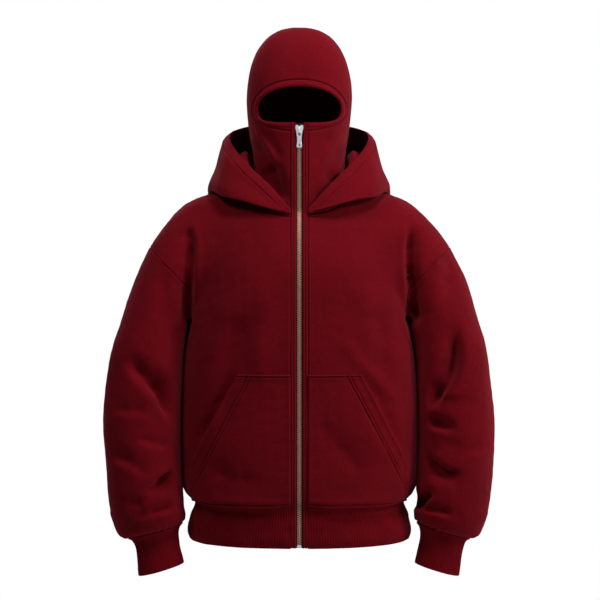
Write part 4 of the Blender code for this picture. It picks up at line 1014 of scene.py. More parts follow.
def shell(name, sheet, thick, open_edges=(), steps=(2, 2)):
    """A closed wall: the sheet outside, a plainer copy inside, rounded over at its open edges."""
    outer, normals, wrap = sheet.points, sheet.normals, sheet.closed
    row_step, column_step = steps
    inner = (sheet.inside - normals * thick)[::row_step, ::column_step]
    points = [outer.reshape(-1, 3), inner.reshape(-1, 3)]
    outside = np.arange(len(points[0])).reshape(outer.shape[:2])
    inside = len(points[0]) + np.arange(len(points[1])).reshape(inner.shape[:2])
    faces = quads(outside, wrap) + quads(inside[::-1], wrap)
    count = outside.size + inside.size
    for side in tuple(EDGES)[: 2 if wrap else 4]:
        at, next_in = EDGES[side]
        step = column_step if side in ("low", "high") else row_step
        fine, coarse = outside[at], inside[at]
        if side in open_edges:
            edge, up = outer[at], normals[at]
            out = edge - outer[next_in]
            out = unit(out - up * (out * up).sum(axis=1, keepdims=True))
            ends = ([fine[0]], [fine[-1]])
            for turn in ROUND_OVER:
                row = edge - up * (thick / 2 * (1 - math.cos(turn))) + out * (thick / 2 * math.sin(turn))
                points.append(row)
                after = count + np.arange(len(row))
                count += len(row)
                faces += quads(np.stack([fine, after]), wrap)
                fine = after
                ends[0].append(fine[0])
                ends[1].append(fine[-1])
            if not wrap:
                faces += [(*ends[0], coarse[0]), (*ends[1], coarse[-1])]
        faces += between_edges(fine, coarse, step, wrap)
    return build(name, np.concatenate(points), faces, sheet)


def quads(index, closed=False):
    """Faces of a grid of vertex numbers."""
    if closed:
        index = np.concatenate([index, index[:, :1]], axis=1)
    a, b, c, d = index[:-1, :-1], index[:-1, 1:], index[1:, 1:], index[1:, :-1]
    return np.stack([a, b, c, d], axis=-1).reshape(-1, 4).tolist()


def between_edges(fine, coarse, step, closed):
    """Faces between an edge and a plainer one that has every step-th of its points."""
    faces = []
    half = step // 2
    for j in range(len(coarse) if closed else len(coarse) - 1):
        a, b = coarse[j], coarse[(j + 1) % len(coarse)]
        run = [fine[(j * step + k) % len(fine)] for k in range(step + 1)]
        faces += [(run[k], run[k + 1], a if k < half else b) for k in range(step)]
        faces.append((run[half], b, a))
    return [[int(v) for v in face] for face in faces]


def add_object(name, data):
    obj = bpy.data.objects.new(name, data)
    bpy.context.scene.collection.objects.link(obj)
    return obj


def build(name, points, faces, sheet=None):
    """A mesh object with its faces out, smooth, and a map of the cloth in metres."""
    mesh = bpy.data.meshes.new(name)
    mesh.from_pydata((points * MM).tolist(), [], faces)
    work = bmesh.new()
    work.from_mesh(mesh)
    bmesh.ops.recalc_face_normals(work, faces=work.faces[:])
    work.to_mesh(mesh)
    work.free()
    mesh.shade_smooth()
    if sheet is not None:
        mesh.set_sharp_from_angle(angle=SHARP_FOLD)
        cloth_map(mesh, sheet)
    return add_object(name, mesh)


def cloth_map(mesh, sheet):
    """Places on the cloth in metres: across along the middle row, up along each column."""
    across = run_lengths(sheet.points, 1)[len(sheet.points) // 2] * MM
    up = run_lengths(sheet.points, 0) * MM
    flat = np.stack([np.broadcast_to(across, up.shape), up], axis=-1).reshape(-1, 2)
    corners = np.empty(len(mesh.loops), dtype=np.int32)
    mesh.loops.foreach_get("vertex_index", corners)
    places = np.empty(len(mesh.vertices) * 3)
    mesh.vertices.foreach_get("co", places)
    places = places.reshape(-1, 3)[:, [0, 2]]
    places[: len(flat)] = flat
    layer = mesh.uv_layers.new(name="cloth")
    layer.data.foreach_set("uv", places[corners].astype(np.float32).ravel())


# ---------- materials ----------

FLEECE = (0.191, 0.0036, 0.0092)
RIB = (0.188, 0.0034, 0.0087)
# A dark woven zip tape, made near black so the narrow gap beside the teeth reads as deep shade: partly
# the tape's own colour, partly painted shade
TAPE = (0.03, 0.003, 0.005)
BRASS = (0.92, 0.49, 0.34)
NICKEL = (0.92, 0.9, 0.87)
NAP_TINT = (0.85, 0.16, 0.21, 1)  # the light that the brushed nap throws back
WALE_HEIGHT = 0.8  # of a stitch, in widths of its column


class Nodes:
    """The node tree of a material or a world, with short calls to add to it."""

    def __init__(self, owner):
        self.owner = owner
        owner.use_nodes = True
        self.tree = owner.node_tree
        self.shader = self.tree.nodes.get("Principled BSDF")

    def add(self, kind, **values):
        node = self.tree.nodes.new(kind)
        for key, value in values.items():
            if hasattr(node, key):
                setattr(node, key, value)
            else:
                node.inputs[key.replace("_", " ")].default_value = value
        return node

    def link(self, out, into):
        self.tree.links.new(out, into)

    def spot(self):
        return self.add("ShaderNodeTexCoord").outputs["Object"]

    def cloth_place(self):
        return self.add("ShaderNodeUVMap", uv_map="cloth").outputs["UV"]

    def noise(self, where, scale, detail=3.0, roughness=0.55):
        node = self.add("ShaderNodeTexNoise", Scale=scale, Detail=detail, Roughness=roughness)
        self.link(where, node.inputs["Vector"])
        return node.outputs["Fac"]

    def math(self, operation, *values):
        node = self.add("ShaderNodeMath", operation=operation)
        for socket, value in zip(node.inputs, values):
            if isinstance(value, (int, float)):
                socket.default_value = value
            else:
                self.link(value, socket)
        return node.outputs[0]

    def mix(self, *shares):
        """The sum of outputs, each times its share."""
        parts = [self.math("MULTIPLY", value, share) for value, share in shares]
        total = parts[0]
        for part in parts[1:]:
            total = self.math("ADD", total, part)
        return total

    def colour(self, factor, stops):
        """A base colour that goes from one stop to the other with the factor."""
        node = self.add("ShaderNodeValToRGB")
        for element, (at, colour) in zip(node.color_ramp.elements, stops):
            element.position = at
            element.color = (*colour, 1)
        self.link(factor, node.inputs["Fac"])
        self.link(node.outputs["Color"], self.shader.inputs["Base Color"])

    def bump(self, height, strength, distance):
        node = self.add("ShaderNodeBump", Strength=strength, Distance=distance)
        self.link(height, node.inputs["Height"])
        self.link(node.outputs["Normal"], self.shader.inputs["Normal"])

    def set(self, **values):
        for key, value in values.items():
            self.shader.inputs[key.replace("_", " ")].default_value = value


def shade(colour, by):
    return tuple(c * by for c in colour)


def knit(name, colour, wale, sheen, strength):
    """Knit cloth: fine columns of stitches under a brushed nap, a little mottled."""
    nodes = Nodes(bpy.data.materials.new(name))
    split = nodes.add("ShaderNodeSeparateXYZ")
    nodes.link(nodes.cloth_place(), split.inputs[0])
    spot = nodes.spot()
    across = nodes.math("MULTIPLY", split.outputs["X"], 1 / wale)
    up = nodes.math("MULTIPLY", split.outputs["Y"], 1 / (WALE_HEIGHT * wale))
    column = nodes.math("ABSOLUTE", nodes.math("SUBTRACT", nodes.math("FRACT", across), 0.5))
    lean = nodes.math("ADD", up, nodes.math("MULTIPLY", column, 1.1))
    stitch = nodes.math("SINE", nodes.math("MULTIPLY", lean, 2 * math.pi))
    ridge = nodes.math("COSINE", nodes.math("MULTIPLY", column, math.pi))
    loops = nodes.math("ADD", nodes.math("MULTIPLY", stitch, 0.35), ridge)
    nap = nodes.noise(spot, 900, 3, 0.7)
    clumps = nodes.noise(spot, 210, 4, 0.6)
    broad = nodes.noise(spot, 11, 3, 0.5)
    nodes.bump(nodes.mix((loops, 0.25), (nap, 0.9), (clumps, 1.4)), strength, 0.0005)
    mottle = nodes.mix((clumps, 0.55), (broad, 0.45))
    nodes.colour(mottle, ((0.36, shade(colour, 0.84)), (0.64, shade(colour, 1.14))))
    nodes.set(Roughness=0.95, Specular_IOR_Level=0.04)
    nodes.set(Sheen_Weight=sheen, Sheen_Roughness=0.5, Sheen_Tint=NAP_TINT)
    return nodes.owner


def woven_tape():
    nodes = Nodes(bpy.data.materials.new("woven_tape"))
    weave = nodes.add("ShaderNodeTexWave", wave_type="BANDS", bands_direction="DIAGONAL")
    weave.inputs["Scale"].default_value = 260
    weave.inputs["Distortion"].default_value = 0.4
    nodes.link(nodes.cloth_place(), weave.inputs["Vector"])
    fuzz = nodes.noise(nodes.spot(), 1500)
    # the tape's near-black colour carries painted shade for the gap beside the teeth
    nodes.colour(fuzz, ((0.3, shade(TAPE, 0.7)), (0.7, shade(TAPE, 1.3))))
    nodes.bump(nodes.math("ADD", weave.outputs["Fac"], fuzz), 0.6, 0.0003)
    nodes.set(Roughness=0.85, Specular_IOR_Level=0.2)
    return nodes.owner


def metal(name, colour, roughness, wear):
    """Plated metal: fine scratches, a little tarnish and an uneven roughness."""
    nodes = Nodes(bpy.data.materials.new(name))
    spot = nodes.spot()
    stain = nodes.noise(spot, 320, 4, 0.6)
    grain = nodes.noise(spot, 2600, 2, 0.5)
    nodes.colour(stain, ((0.3, shade(colour, 1 - wear)), (0.62, colour)))
    rough = nodes.math("ADD", nodes.math("MULTIPLY", stain, 0.22), roughness - 0.1)
    nodes.link(rough, nodes.shader.inputs["Roughness"])
    nodes.bump(grain, 0.18, 0.0001)
    nodes.set(Metallic=1.0)
    return nodes.owner


def dress(obj, material, node, body="garment"):
    obj.data.materials.append(material)
    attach(obj, body)
    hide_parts(node)
    return obj


# ---------- cloth pieces ----------

PITCH = 4.2
BACK_PITCH = 4.8
POCKET_PITCH = 1.9
MASK_PITCH = 3.4
EYE_BAND_PITCH = 2.4
HOOD_PITCH = 3.8
RIB_PITCH = 3.2
RIB_SAMPLES = 6  # across one rib
CUFF_RIBS = 60
HEM_RIBS = 216
CONTACT = 0.9  # how far each cloth is pressed out to the other where sleeve and body lie together
CONTACT_REACH = 22
CONTACT_LOW_Z = -615
GATHER_TOP_Z = -560  # the sleeve is drawn in below this
SLEEVE_END_Z = -668
GATHERS = 31
GATHER_DEPTH = 1.3
GATHER_AWAY = 7  # the middle of the gathers, from the cuff's seam
GATHER_WIDTH = 9
CALM = 30  # the body is even along the hem's seam, over this height
MASK_CALM = 25
HOOD_CALM = 40
HEM_ROWS = 8
POCKET_ROWS = 27
POCKET_COLUMNS = 17
POCKET_STITCHES = (19.5, 24.5)  # from the slanted edge
POCKET_GROOVE = 1.8
POCKET_GROOVE_WIDTH = 1.2
POCKET_RIDGE = 1.1  # between the two grooves
POCKET_RIDGE_WIDTH = 1.7
POCKET_GAPE = 3.2
POCKET_GAPE_WIDTH = 22
MASK_SEAM_POINTS = 27
MASK_NECK_POINTS = 9
MASK_ROWS = 15
MASK_BACK_NECK_POINTS = 11
EYE_BAND_ROWS = 5
HOOD_ROWS = 41
HOOD_COLUMNS = 31
EYE_ROUND = 2.2  # how far the band's round edge stands out past its last row
EYE_BAND_THICK = 4.0
BACK_OF_HEAD = 60  # the mask's back starts this far behind the plane between its edges


def on_form(form, grid):
    """Normals of a form, with nothing sideways beside the placket, so that the gap there stays even."""
    beside = np.abs(grid[..., :1]) < PANEL_EDGE + 0.01
    return unit(outward(form, grid) * np.where(beside, [0.0, 1.0, 1.0], 1.0))


def drawn_back(points, closed=False, sides=tuple(EDGES), by=HALF_GAP):
    """A grid with its edges drawn back square to themselves, for the gap at a seam."""
    points = points.copy()
    for name in sides:
        if closed and name in ("first", "last"):
            continue
        at, next_in = EDGES[name]
        edge = points[at]
        along, inwards = unit(np.gradient(edge, axis=0)), points[next_in] - edge
        inwards = inwards - along * (inwards * along).sum(axis=-1, keepdims=True)
        edge += unit(inwards) * by
    return points


def cloth_piece(node, sheet, material, thick=CLOTH, open_edges=()):
    """The sheet as a wall of fleece that stands for its node."""
    piece = dress(shell(f"{node}_cloth", sheet, thick, open_edges), material, node)


def body_piece(node, grid, edges, pitch, material):
    """A front or the back: its form with creases, seams and an uneven surface."""
    sheet = fine_sheet(grid, on_form(body_form, grid), pitch, edges)
    calm = ease(sheet.away["low"] / CALM)
    against = against_arm(sheet, 1)
    rise = sheet.field(crease_rise, BODY_CREASES + BESIDE_POCKETS) + sheet.field(uneven_rise) * calm
    sheet.lift(rise * (1 - against) + CONTACT * against + sheet.field(seam_fill))
    sheet.raise_outside(sheet.edge_rise(edges, node))
    sheet.points = drawn_back(sheet.points)
    cloth_piece(node, sheet, material)


def against_arm(sheet, facing):
    """How much the cloth lies against its neighbour where sleeve and body meet, below the armpit."""
    x, z = sheet.points[..., 0], sheet.points[..., 2]
    levels, half_widths = np.array(TORSO)[:, :2].T
    side_x = np.interp(z.ravel(), levels, half_widths).reshape(z.shape)
    near = ease(1.3 - np.abs(np.abs(x) - side_x) / CONTACT_REACH) * ease((ARMPIT_Z + 20 - z) / 45)
    toward = np.sign(x) * sheet.normals[..., 0] * facing
    return near * ease((toward - 0.55) / 0.3) * ease((z - CONTACT_LOW_Z) / 40)


def sleeve_piece(word, grid, side, material):
    """A sleeve with its creases, gathered at its end. Gives its plain rings."""
    node = f"sleeve_{word}"
    grid = grid * [side, 1, 1]
    gathered = ease((GATHER_TOP_Z - grid[..., 2:]) / 60)
    normals = unit(outward(sleeve_form, grid) * (1 - gathered) + ring_normals(grid) * gathered)
    normals[0] = outward(body_form, grid[0])
    edges = {"low": "seam", "high": "seam", "joined": "side_seam"}
    sheet = fine_sheet(grid, normals, PITCH, edges, closed=True)
    folds = sheet.field(crease_rise, SLEEVE_CREASES) * ease((sheet.points[..., 2] - SLEEVE_END_Z) / 40)
    against = against_arm(sheet, -1)
    sheet.lift((folds + sheet.field(uneven_rise)) * (1 - against) + CONTACT * against)
    rise = sheet.edge_rise(edges, node)
    around = turns(sheet.points.shape[1])
    gathers = np.sin(around * GATHERS + 2.2 * np.sin(around * 3 + SEEDS[node]))
    gathers *= 0.6 + 0.4 * np.sin(around * 5 + 1)
    rise += GATHER_DEPTH * gathers * bell(sheet.away["high"] - GATHER_AWAY, GATHER_WIDTH)
    sheet.raise_outside(rise)
    sheet.points = drawn_back(sheet.points, closed=True, by=2 * HALF_GAP)
    cloth_piece(node, sheet, material)
    return grid


def rib_piece(node, rings, normals, ribs, material, closed):
    """Rib knit: rounded ribs with narrow grooves between them, over a plain inside."""
    down = run_lengths(rings, 0).mean(axis=1)
    rows_at = np.interp(spaced(down[-1], RIB_PITCH, "seam"), down, np.arange(len(down)))
    columns = rings.shape[1]
    count = ribs * RIB_SAMPLES
    spans = columns if closed else columns - 1
    columns_at = np.arange(count + (0 if closed else 1)) * spans / count
    sheet = sheet_at(rings, normals, rows_at, columns_at, closed)
    phase = (np.arange(len(columns_at)) / RIB_SAMPLES) % 1
    rib = RIB_RISE * np.sin(math.pi * phase) ** 0.6
    rise = rib[None] * ease(sheet.away["low"] / 4) + relief(sheet.away["low"], "seam")
    sheet.raise_outside(rise + RIB_WAVE * sheet.field(rib_unevenness))
    sheet.points = drawn_back(sheet.points, closed, sides=("low",))
    wall = shell(f"{node}_knit", sheet, RIB_CLOTH, ("high",), (2, RIB_SAMPLES))
    dress(wall, material, node)


def cuff_piece(word, seam_ring, side, material):
    run = np.array(CUFF_END) - np.array(CUFF_SEAM)
    length = np.linalg.norm(run)
    rings = []
    for below, half_width, half_depth in CUFF:
        centre = np.array(CUFF_SEAM) + run * below / length
        rings.append(tilted_ring(centre, half_width, half_depth, len(seam_ring)))
    mirror = np.array([side, 1, 1])
    rings[0] = seam_ring * mirror + run / length * SEAM_GAP
    rings = np.array(rings)
    normals = ring_normals(rings)
    rib_piece(f"cuff_{word}", rings * mirror, normals * mirror, CUFF_RIBS, material, True)


def hem_piece(bottom_row, material):
    """The hem's band, which follows the body's lowest row from placket to placket."""
    rings = []
    for z in np.linspace(HEM_SEAM_Z - SEAM_GAP, HEM_Z, HEM_ROWS):
        half_width, front, back = section(z, TORSO) / section(HEM_SEAM_Z, TORSO)
        ring = bottom_row.copy()
        ring[:, 0] *= half_width
        ring[:, 1] *= np.where(ring[:, 1] < 0, front, back)
        ring[:, 2] = z
        ring[[0, -1], 0] = np.sign(ring[[0, -1], 0]) * PANEL_EDGE
        rings.append(ring)
    rings = np.array(rings)
    rings[..., 1] -= seam_fill(rings.reshape(-1, 3)).reshape(rings.shape[:2])
    normals = outward(torso, rings)
    normals[..., 2] = 0
    rib_piece("hem_band", rings, unit(normals), HEM_RIBS, material, False)


def pocket_piece(node, side, material):
    """A pocket: level top edge, slanted opening with a wide stitched hem, short upright edge."""
    low = HEM_SEAM_Z
    kink_z = POCKET_TOP_Z - (POCKET_SIDE_X - POCKET_TOP_X) * POCKET_SLANT_Z / POCKET_SLANT_X
    corner = [[POCKET_SIDE_X, 0, low], [POCKET_SIDE_X, 0, kink_z], [POCKET_TOP_X, 0, POCKET_TOP_Z]]
    right = along_line(corner, POCKET_ROWS)
    left = along_line([[PANEL_EDGE, 0, low], [PANEL_EDGE, 0, POCKET_TOP_Z]], POCKET_ROWS)
    bottom, top = (along_line([left[at], right[at]], POCKET_COLUMNS) for at in (0, -1))
    grid = patch(bottom, top, left, right)
    grid[..., 1] = -torso_front(grid[..., 0].ravel(), grid[..., 2].ravel()).reshape(grid.shape[:2])
    edges = {"low": "topstitched", "high": "laid_edge", "first": "beside_zip", "last": "turned"}
    sheet = fine_sheet(grid, on_form(torso, grid), POCKET_PITCH, edges)
    slant = unit(np.array([POCKET_TOP_X - POCKET_SIDE_X, POCKET_TOP_Z - kink_z]))
    x, z = sheet.points[..., 0], sheet.points[..., 2]
    from_slant = (z - kink_z) * slant[0] - (x - POCKET_SIDE_X) * slant[1]
    sheet.away["last"] = np.maximum(np.minimum(from_slant, POCKET_SIDE_X - x), 0)
    zip_side, open_side = "first", "last"
    if side < 0:
        sheet.mirror()
        zip_side, open_side = open_side, zip_side
        edges = {**edges, zip_side: "beside_zip", open_side: "turned"}
        from_slant = from_slant[:, ::-1]
    calm = ease(sheet.away["low"] / CALM)
    rise = sheet.field(crease_rise, BODY_CREASES) + sheet.field(uneven_rise) * calm
    sheet.lift(LAID_ON + CLOTH + rise + sheet.field(seam_fill))
    rise = sheet.edge_rise(edges, node)
    for at in POCKET_STITCHES:
        rise -= POCKET_GROOVE * bell(from_slant - at, POCKET_GROOVE_WIDTH)
    rise += POCKET_RIDGE * bell(from_slant - np.mean(POCKET_STITCHES), POCKET_RIDGE_WIDTH)
    level = sheet.points[..., 2]
    opening = np.exp(-np.maximum(from_slant, 0) / POCKET_GAPE_WIDTH)
    opening *= ease((level - kink_z + 20) / 60)
    rise += POCKET_GAPE * opening * ease((POCKET_TOP_Z - level) / 50)
    sheet.raise_outside(rise)
    sheet.points = drawn_back(sheet.points, sides=("low", zip_side))
    cloth_piece(node, sheet, material, open_edges=(open_side,))


# ---------- mask and hood ----------


def mask_half_rows(inner, outer, count):
    """Rows between two lines on the mask's +X half, laid on its form and mirrored to the other half."""
    half = onto_mask(np.array([inner * (1 - s) + outer * s for s in np.linspace(0, 1, count)]))
    half[:, 0, 0], half[:, -1, 0] = PANEL_EDGE, 0.0
    return np.concatenate([half, mirrored(half)[:, 1:]], axis=1)


def mask_pieces(cloth):
    """The mask's front, the band round its eye opening, and its back."""
    seam = along_line(ear_seam_points(), MASK_SEAM_POINTS)
    outer = np.vstack([mask_neck("front", MASK_NECK_POINTS), seam[1:]])
    band_out, band_in = eye_loop(1.0, len(outer)), eye_loop(0.0, len(outer))
    grid = mask_half_rows(band_out, outer, MASK_ROWS)
    edges = {"low": "seam", "high": "seam", "first": "beside_zip", "last": "beside_zip"}
    sheet = fine_sheet(grid, on_form(mask_form, grid), MASK_PITCH, edges)
    rise = 0.6 * sheet.field(uneven_rise) * ease(sheet.away["low"] / MASK_CALM)
    rise = sheet.field(mask_fold_rise) + rise
    sheet.lift(rise * ease(sheet.away["high"] / MASK_CALM))
    sheet.raise_outside(sheet.edge_rise(edges, "mask_front"))
    sheet.points = drawn_back(sheet.points)
    cloth_piece("mask_front", sheet, cloth)

    grid = mask_half_rows(band_in, band_out, EYE_BAND_ROWS)
    edges = {"high": "seam", "low": "eye_roll"}
    sheet = fine_sheet(grid, on_form(mask_form, grid), EYE_BAND_PITCH, edges)
    sheet.raise_outside(sheet.edge_rise(edges, "eye_band"))
    sheet.points = drawn_back(sheet.points, sides=("high",))
    sheet.points = drawn_back(sheet.points, sides=("low",), by=EYE_ROUND)
    sheet.inside = drawn_back(sheet.inside, sides=("low",), by=EYE_ROUND)
    cloth_piece("eye_band", sheet, cloth, EYE_BAND_THICK, ("low",))

    grid = mask_back_grid(seam)
    edges = {"low": "seam", "high": "seam", "first": "seam", "last": "seam"}
    sheet = fine_sheet(grid, on_form(mask_form, grid), PITCH, edges)
    sheet.lift(0.6 * sheet.field(uneven_rise) * ease(sheet.away["low"] / CALM))
    sheet.raise_outside(sheet.edge_rise(edges, "mask_back"))
    sheet.points = drawn_back(sheet.points)
    cloth_piece("mask_back", sheet, cloth)


def mask_back_grid(seam):
    """The mask's back, between its neck edge and the seam over the ears and the crown."""
    corner = 2 * len(seam) // 3
    back_neck = mask_neck("back", MASK_BACK_NECK_POINTS)
    bottom = np.concatenate([back_neck[::-1] * [-1, 1, 1], back_neck[1:]])
    side, over = seam[: corner + 1], seam[corner:]
    top = np.concatenate([over * [-1, 1, 1], over[::-1][1:]])
    bottom = along_line_keep(bottom, len(bottom) // 2, len(top))
    grid = patch(bottom, top, side * [-1, 1, 1], side)
    grid[1:-1, 1:-1, 1] += BACK_OF_HEAD * np.sin(np.linspace(0, math.pi, grid.shape[1]))[1:-1]
    grid[1:-1, 1:-1] = onto(mask_form, grid[1:-1, 1:-1], steps=12)
    even = np.stack([along_line(grid[:, k], len(grid)) for k in range(grid.shape[1])], axis=1)
    grid[1:-1, 1:-1] = onto(mask_form, even[1:-1, 1:-1])
    return grid


def hood_pieces(cloth):
    """The two halves of the open hood, with the wide hem at its rim."""
    grid = hood_surface(np.linspace(0, 1, HOOD_ROWS), np.linspace(0, 1, HOOD_COLUMNS))
    normals = grid_normals(grid)
    normals[:, [0, -1], 0] = 0
    grid[:, 0, 0] = PANEL_EDGE
    grid[:, -1, 0] = HALF_GAP
    edges = {"low": "seam", "high": "rim_hem", "first": "seam", "last": "topstitched"}
    fine = fine_sheet(grid, unit(normals), HOOD_PITCH, edges)
    for node, side in (("hood_left", 1), ("hood_right", -1)):
        sheet = Sheet(fine.points * [side, 1, 1], fine.normals * [side, 1, 1])
        sheet.lift(0.7 * sheet.field(uneven_rise) * ease(sheet.away["low"] / HOOD_CALM))
        sheet.raise_outside(sheet.edge_rise(edges, node))
        cloth_piece(node, sheet, cloth, open_edges=("high",))


# ---------- centre front ----------

CENTRE_PITCH = 3.4
PLACKET_COLUMNS = 15
PLACKET_STITCH = (11.2, 0.95, 0.8)  # x, depth and width of its row of stitches
PLACKET_ROLL = 2.2  # how wide its edge beside the teeth is rolled
PLACKET_TUCK = 1.4  # and its other edge goes down to the front's
PLACKET_FALL = 1.5  # how far both edges go down
PLACKET_WAVE = 0.16
SLIDER_OPENS = (14, 10)  # the strips part from so far below the slider, over this height
TAPE_COLUMNS = 7
PLACKET_FILLS = ((8.6, 0.35, 1.4), (13.8, 0.45, 1.3))  # x, rise and width, on each side of the stitches
PLACKET_ROUND = 0.4  # what its rolled edge takes of its thickness
TAPE_OUT = 18.5  # the tape goes on under the fronts
TAPE_IN = 0.3  # and between the teeth, which are clamped to it
TAPE_DEEP = -PLACKET_PROUD + PLACKET_CLOTH + SEAM_GAP  # the tape's outside, in from the cloth's
TAPE_MIDDLE = TAPE_DEEP + TAPE_THICK / 2
TOOTH_PITCH = 3.3  # of the teeth on one side
TOOTH_HEIGHT = 1.35
TOOTH_OVERLAP = 0.75
TOOTH_BEVEL = 0.35
TOOTH_FROM_TAPE = CHAIN_HALF - 0.1
TOOTH_FRONT = (
    # share of its length from the tape, share of its height: half of its outline
    (0.0, 0.38), (0.1, 0.5), (0.72, 0.5), (0.92, 0.36), (1.0, 0.16),
)
TOOTH_LAYERS = (
    # depth from its middle, size
    (-CHAIN_THICK / 2, 0.82),
    (-CHAIN_THICK / 2 + TOOTH_BEVEL, 1.0),
    (CHAIN_THICK / 2 - TOOTH_BEVEL, 1.0),
    (CHAIN_THICK / 2, 0.82),
)
LOOP_THIN = 0.62  # half the thickness of the slider's loop
SLIDER_RAIL = (
    # x, z: the turned edge of the slider on +X
    (6.9, 111.5), (5.7, 104.8), (5.2, SLIDER_LOW + 0.4),
    (4.4, SLIDER_LOW + 0.4), (5.0, 105.2), (6.0, 111.5),
)
STOP_OUTLINE = (
    (-CHAIN_HALF, HEM_Z + 0.5), (CHAIN_HALF, HEM_Z + 0.5),
    (CHAIN_HALF, HEM_Z + STOP_HEIGHT), (-CHAIN_HALF, HEM_Z + STOP_HEIGHT),
)


def centre_sheet(x, levels, inwards, side):
    """A plain sheet down the centre front, at x on each level and so far in from the cloth's outside."""
    z = np.broadcast_to(levels[:, None], x.shape)
    y = inwards - centre_depth(x.ravel(), z.ravel()).reshape(x.shape)
    points = np.stack([x * side, y, z], axis=-1)
    return Sheet(points, np.broadcast_to([0.0, -1.0, 0.0], points.shape))


def placket_pieces(cloth, tape):
    """The two strips beside the teeth, rolled at their edge and stitched, and the tape under each."""
    steps = 2 * round((PLACKET_TOP_Z - HEM_Z) / CENTRE_PITCH / 2)
    levels = np.linspace(HEM_Z, PLACKET_TOP_Z, steps + 1)
    below, over = SLIDER_OPENS
    edge = PLACKET_IN + (SLIDER_GAP - PLACKET_IN) * ease((levels - SLIDER_LOW + below) / over)
    x = edge[:, None] + (PLACKET_OUT - edge)[:, None] * np.linspace(0, 1, PLACKET_COLUMNS)
    along = np.broadcast_to(levels[:, None], x.shape)
    rolled = np.clip(1 - (x - edge[:, None]) / PLACKET_ROLL, 0, 1)
    shape = -PLACKET_FALL * (1 - np.sqrt(1 - np.minimum(rolled, 0.999) ** 2))
    at, depth, width = PLACKET_STITCH
    shape -= depth * bell(x - at, width)
    shape += sum(rise * bell(x - at, width) for at, rise, width in PLACKET_FILLS)
    shape -= PLACKET_FALL * np.clip(1 - (PLACKET_OUT - x) / PLACKET_TUCK, 0, 1) ** 2
    tape_x = np.tile(np.linspace(TAPE_IN, TAPE_OUT, TAPE_COLUMNS), (len(levels), 1))
    thick = PLACKET_CLOTH - PLACKET_ROUND
    for side, word in ((1, "left"), (-1, "right")):
        node = f"placket_{word}"
        sheet = centre_sheet(x, levels, -PLACKET_PROUD, side)
        sheet.raise_outside(shape + PLACKET_WAVE * puckers(along, SEEDS[node]))
        cloth_piece(node, sheet, cloth, thick=thick, open_edges=("high",))
        node = f"zip_tape_{word}"
        wall = shell(f"{node}_woven", centre_sheet(tape_x, levels, TAPE_DEEP, side), TAPE_THICK)
        dress(wall, tape, node)


def zip_teeth(brass):
    """The closed teeth: bars with rounded heads, left and right in turn, down the front's curve."""
    low = HEM_Z + STOP_HEIGHT + SEAM_GAP
    outline = list(TOOTH_FRONT) + [(a, -b) for a, b in TOOTH_FRONT[::-1]]
    length = TOOTH_FROM_TAPE + TOOTH_OVERLAP
    count = int((CHAIN_TOP - low - TOOTH_HEIGHT) / (TOOTH_PITCH / 2))
    levels = low + TOOTH_HEIGHT / 2 + np.arange(count) * TOOTH_PITCH / 2
    zero = np.zeros(count)
    depth = -centre_depth(zero, levels)
    lean = -(centre_depth(zero, levels + 1) - centre_depth(zero, levels - 1)) / 2
    points, faces = [], []
    numbers = np.arange(len(TOOTH_LAYERS) * len(outline)).reshape(len(TOOTH_LAYERS), -1)
    for k in range(count):
        side = 1 if k % 2 else -1
        up = unit(np.array([0, lean[k], 1.0]))
        out = np.array([0, -up[2], up[1]])
        base = np.array([0, depth[k], levels[k]]) - out * TAPE_MIDDLE
        tooth = numbers + len(points)
        for at, grow in TOOTH_LAYERS:
            for along, high in outline:
                x = side * (TOOTH_FROM_TAPE - (0.5 + (along - 0.5) * (0.94 + 0.06 * grow)) * length)
                points.append(base + [x, 0, 0] + up * (high * TOOTH_HEIGHT * grow) - out * at)
        faces += quads(tooth, closed=True) + [tooth[0].tolist(), tooth[-1].tolist()]
    obj = build("zip_teeth_brass", np.array(points), faces)
    obj.data.set_sharp_from_angle(angle=math.radians(40))
    dress(obj, brass, "zip_chain")


def rounded(points, radius, steps=4):
    """A closed outline with its corners turned into arcs."""
    made = []
    count = len(points)
    for k in range(count):
        before, at, after = (np.array(points[(k + d) % count], float) for d in (-1, 0, 1))
        back, on = before - at, after - at
        reach = min(radius, 0.45 * np.linalg.norm(back), 0.45 * np.linalg.norm(on))
        start, end = at + unit(back) * reach, at + unit(on) * reach
        for t in np.linspace(0, 1, steps + 1):
            made.append((1 - t) ** 2 * start + 2 * t * (1 - t) * at + t * t * end)
    return np.array(made)


def plate(outlines, thick, bevel, middle):
    """A plate with bevelled edges from outlines in x and z: the first its edge, the rest holes."""
    curve = bpy.data.curves.new("plate", "CURVE")
    curve.dimensions = "2D"
    curve.fill_mode = "BOTH"
    curve.extrude = (thick / 2 - bevel) * MM
    curve.bevel_depth = bevel * MM
    curve.bevel_resolution = 2
    curve.offset = -bevel * MM
    for outline in outlines:
        spline = curve.splines.new("POLY")
        spline.points.add(len(outline) - 1)
        for point, (x, z) in zip(spline.points, outline):
            point.co = (x * MM, z * MM, 0, 1)
        spline.use_cyclic_u = True
    holder = add_object("plate", curve)
    evaluated = holder.evaluated_get(bpy.context.evaluated_depsgraph_get())
    mesh = bpy.data.meshes.new_from_object(evaluated)
    bpy.data.objects.remove(holder)
    work = bmesh.new()
    work.from_mesh(mesh)
    bmesh.ops.remove_doubles(work, verts=work.verts[:], dist=1e-6)
    bpy.data.meshes.remove(mesh)
    for vert in work.verts:
        x, z, y = vert.co
        vert.co = (x, y, z)
    bmesh.ops.recalc_face_normals(work, faces=work.faces[:])
    bmesh.ops.translate(work, verts=work.verts[:], vec=[v * MM for v in middle])
    return work


def both_sides(half):
    return [(-x, z) for x, z in half if x > 0][::-1] + list(half)


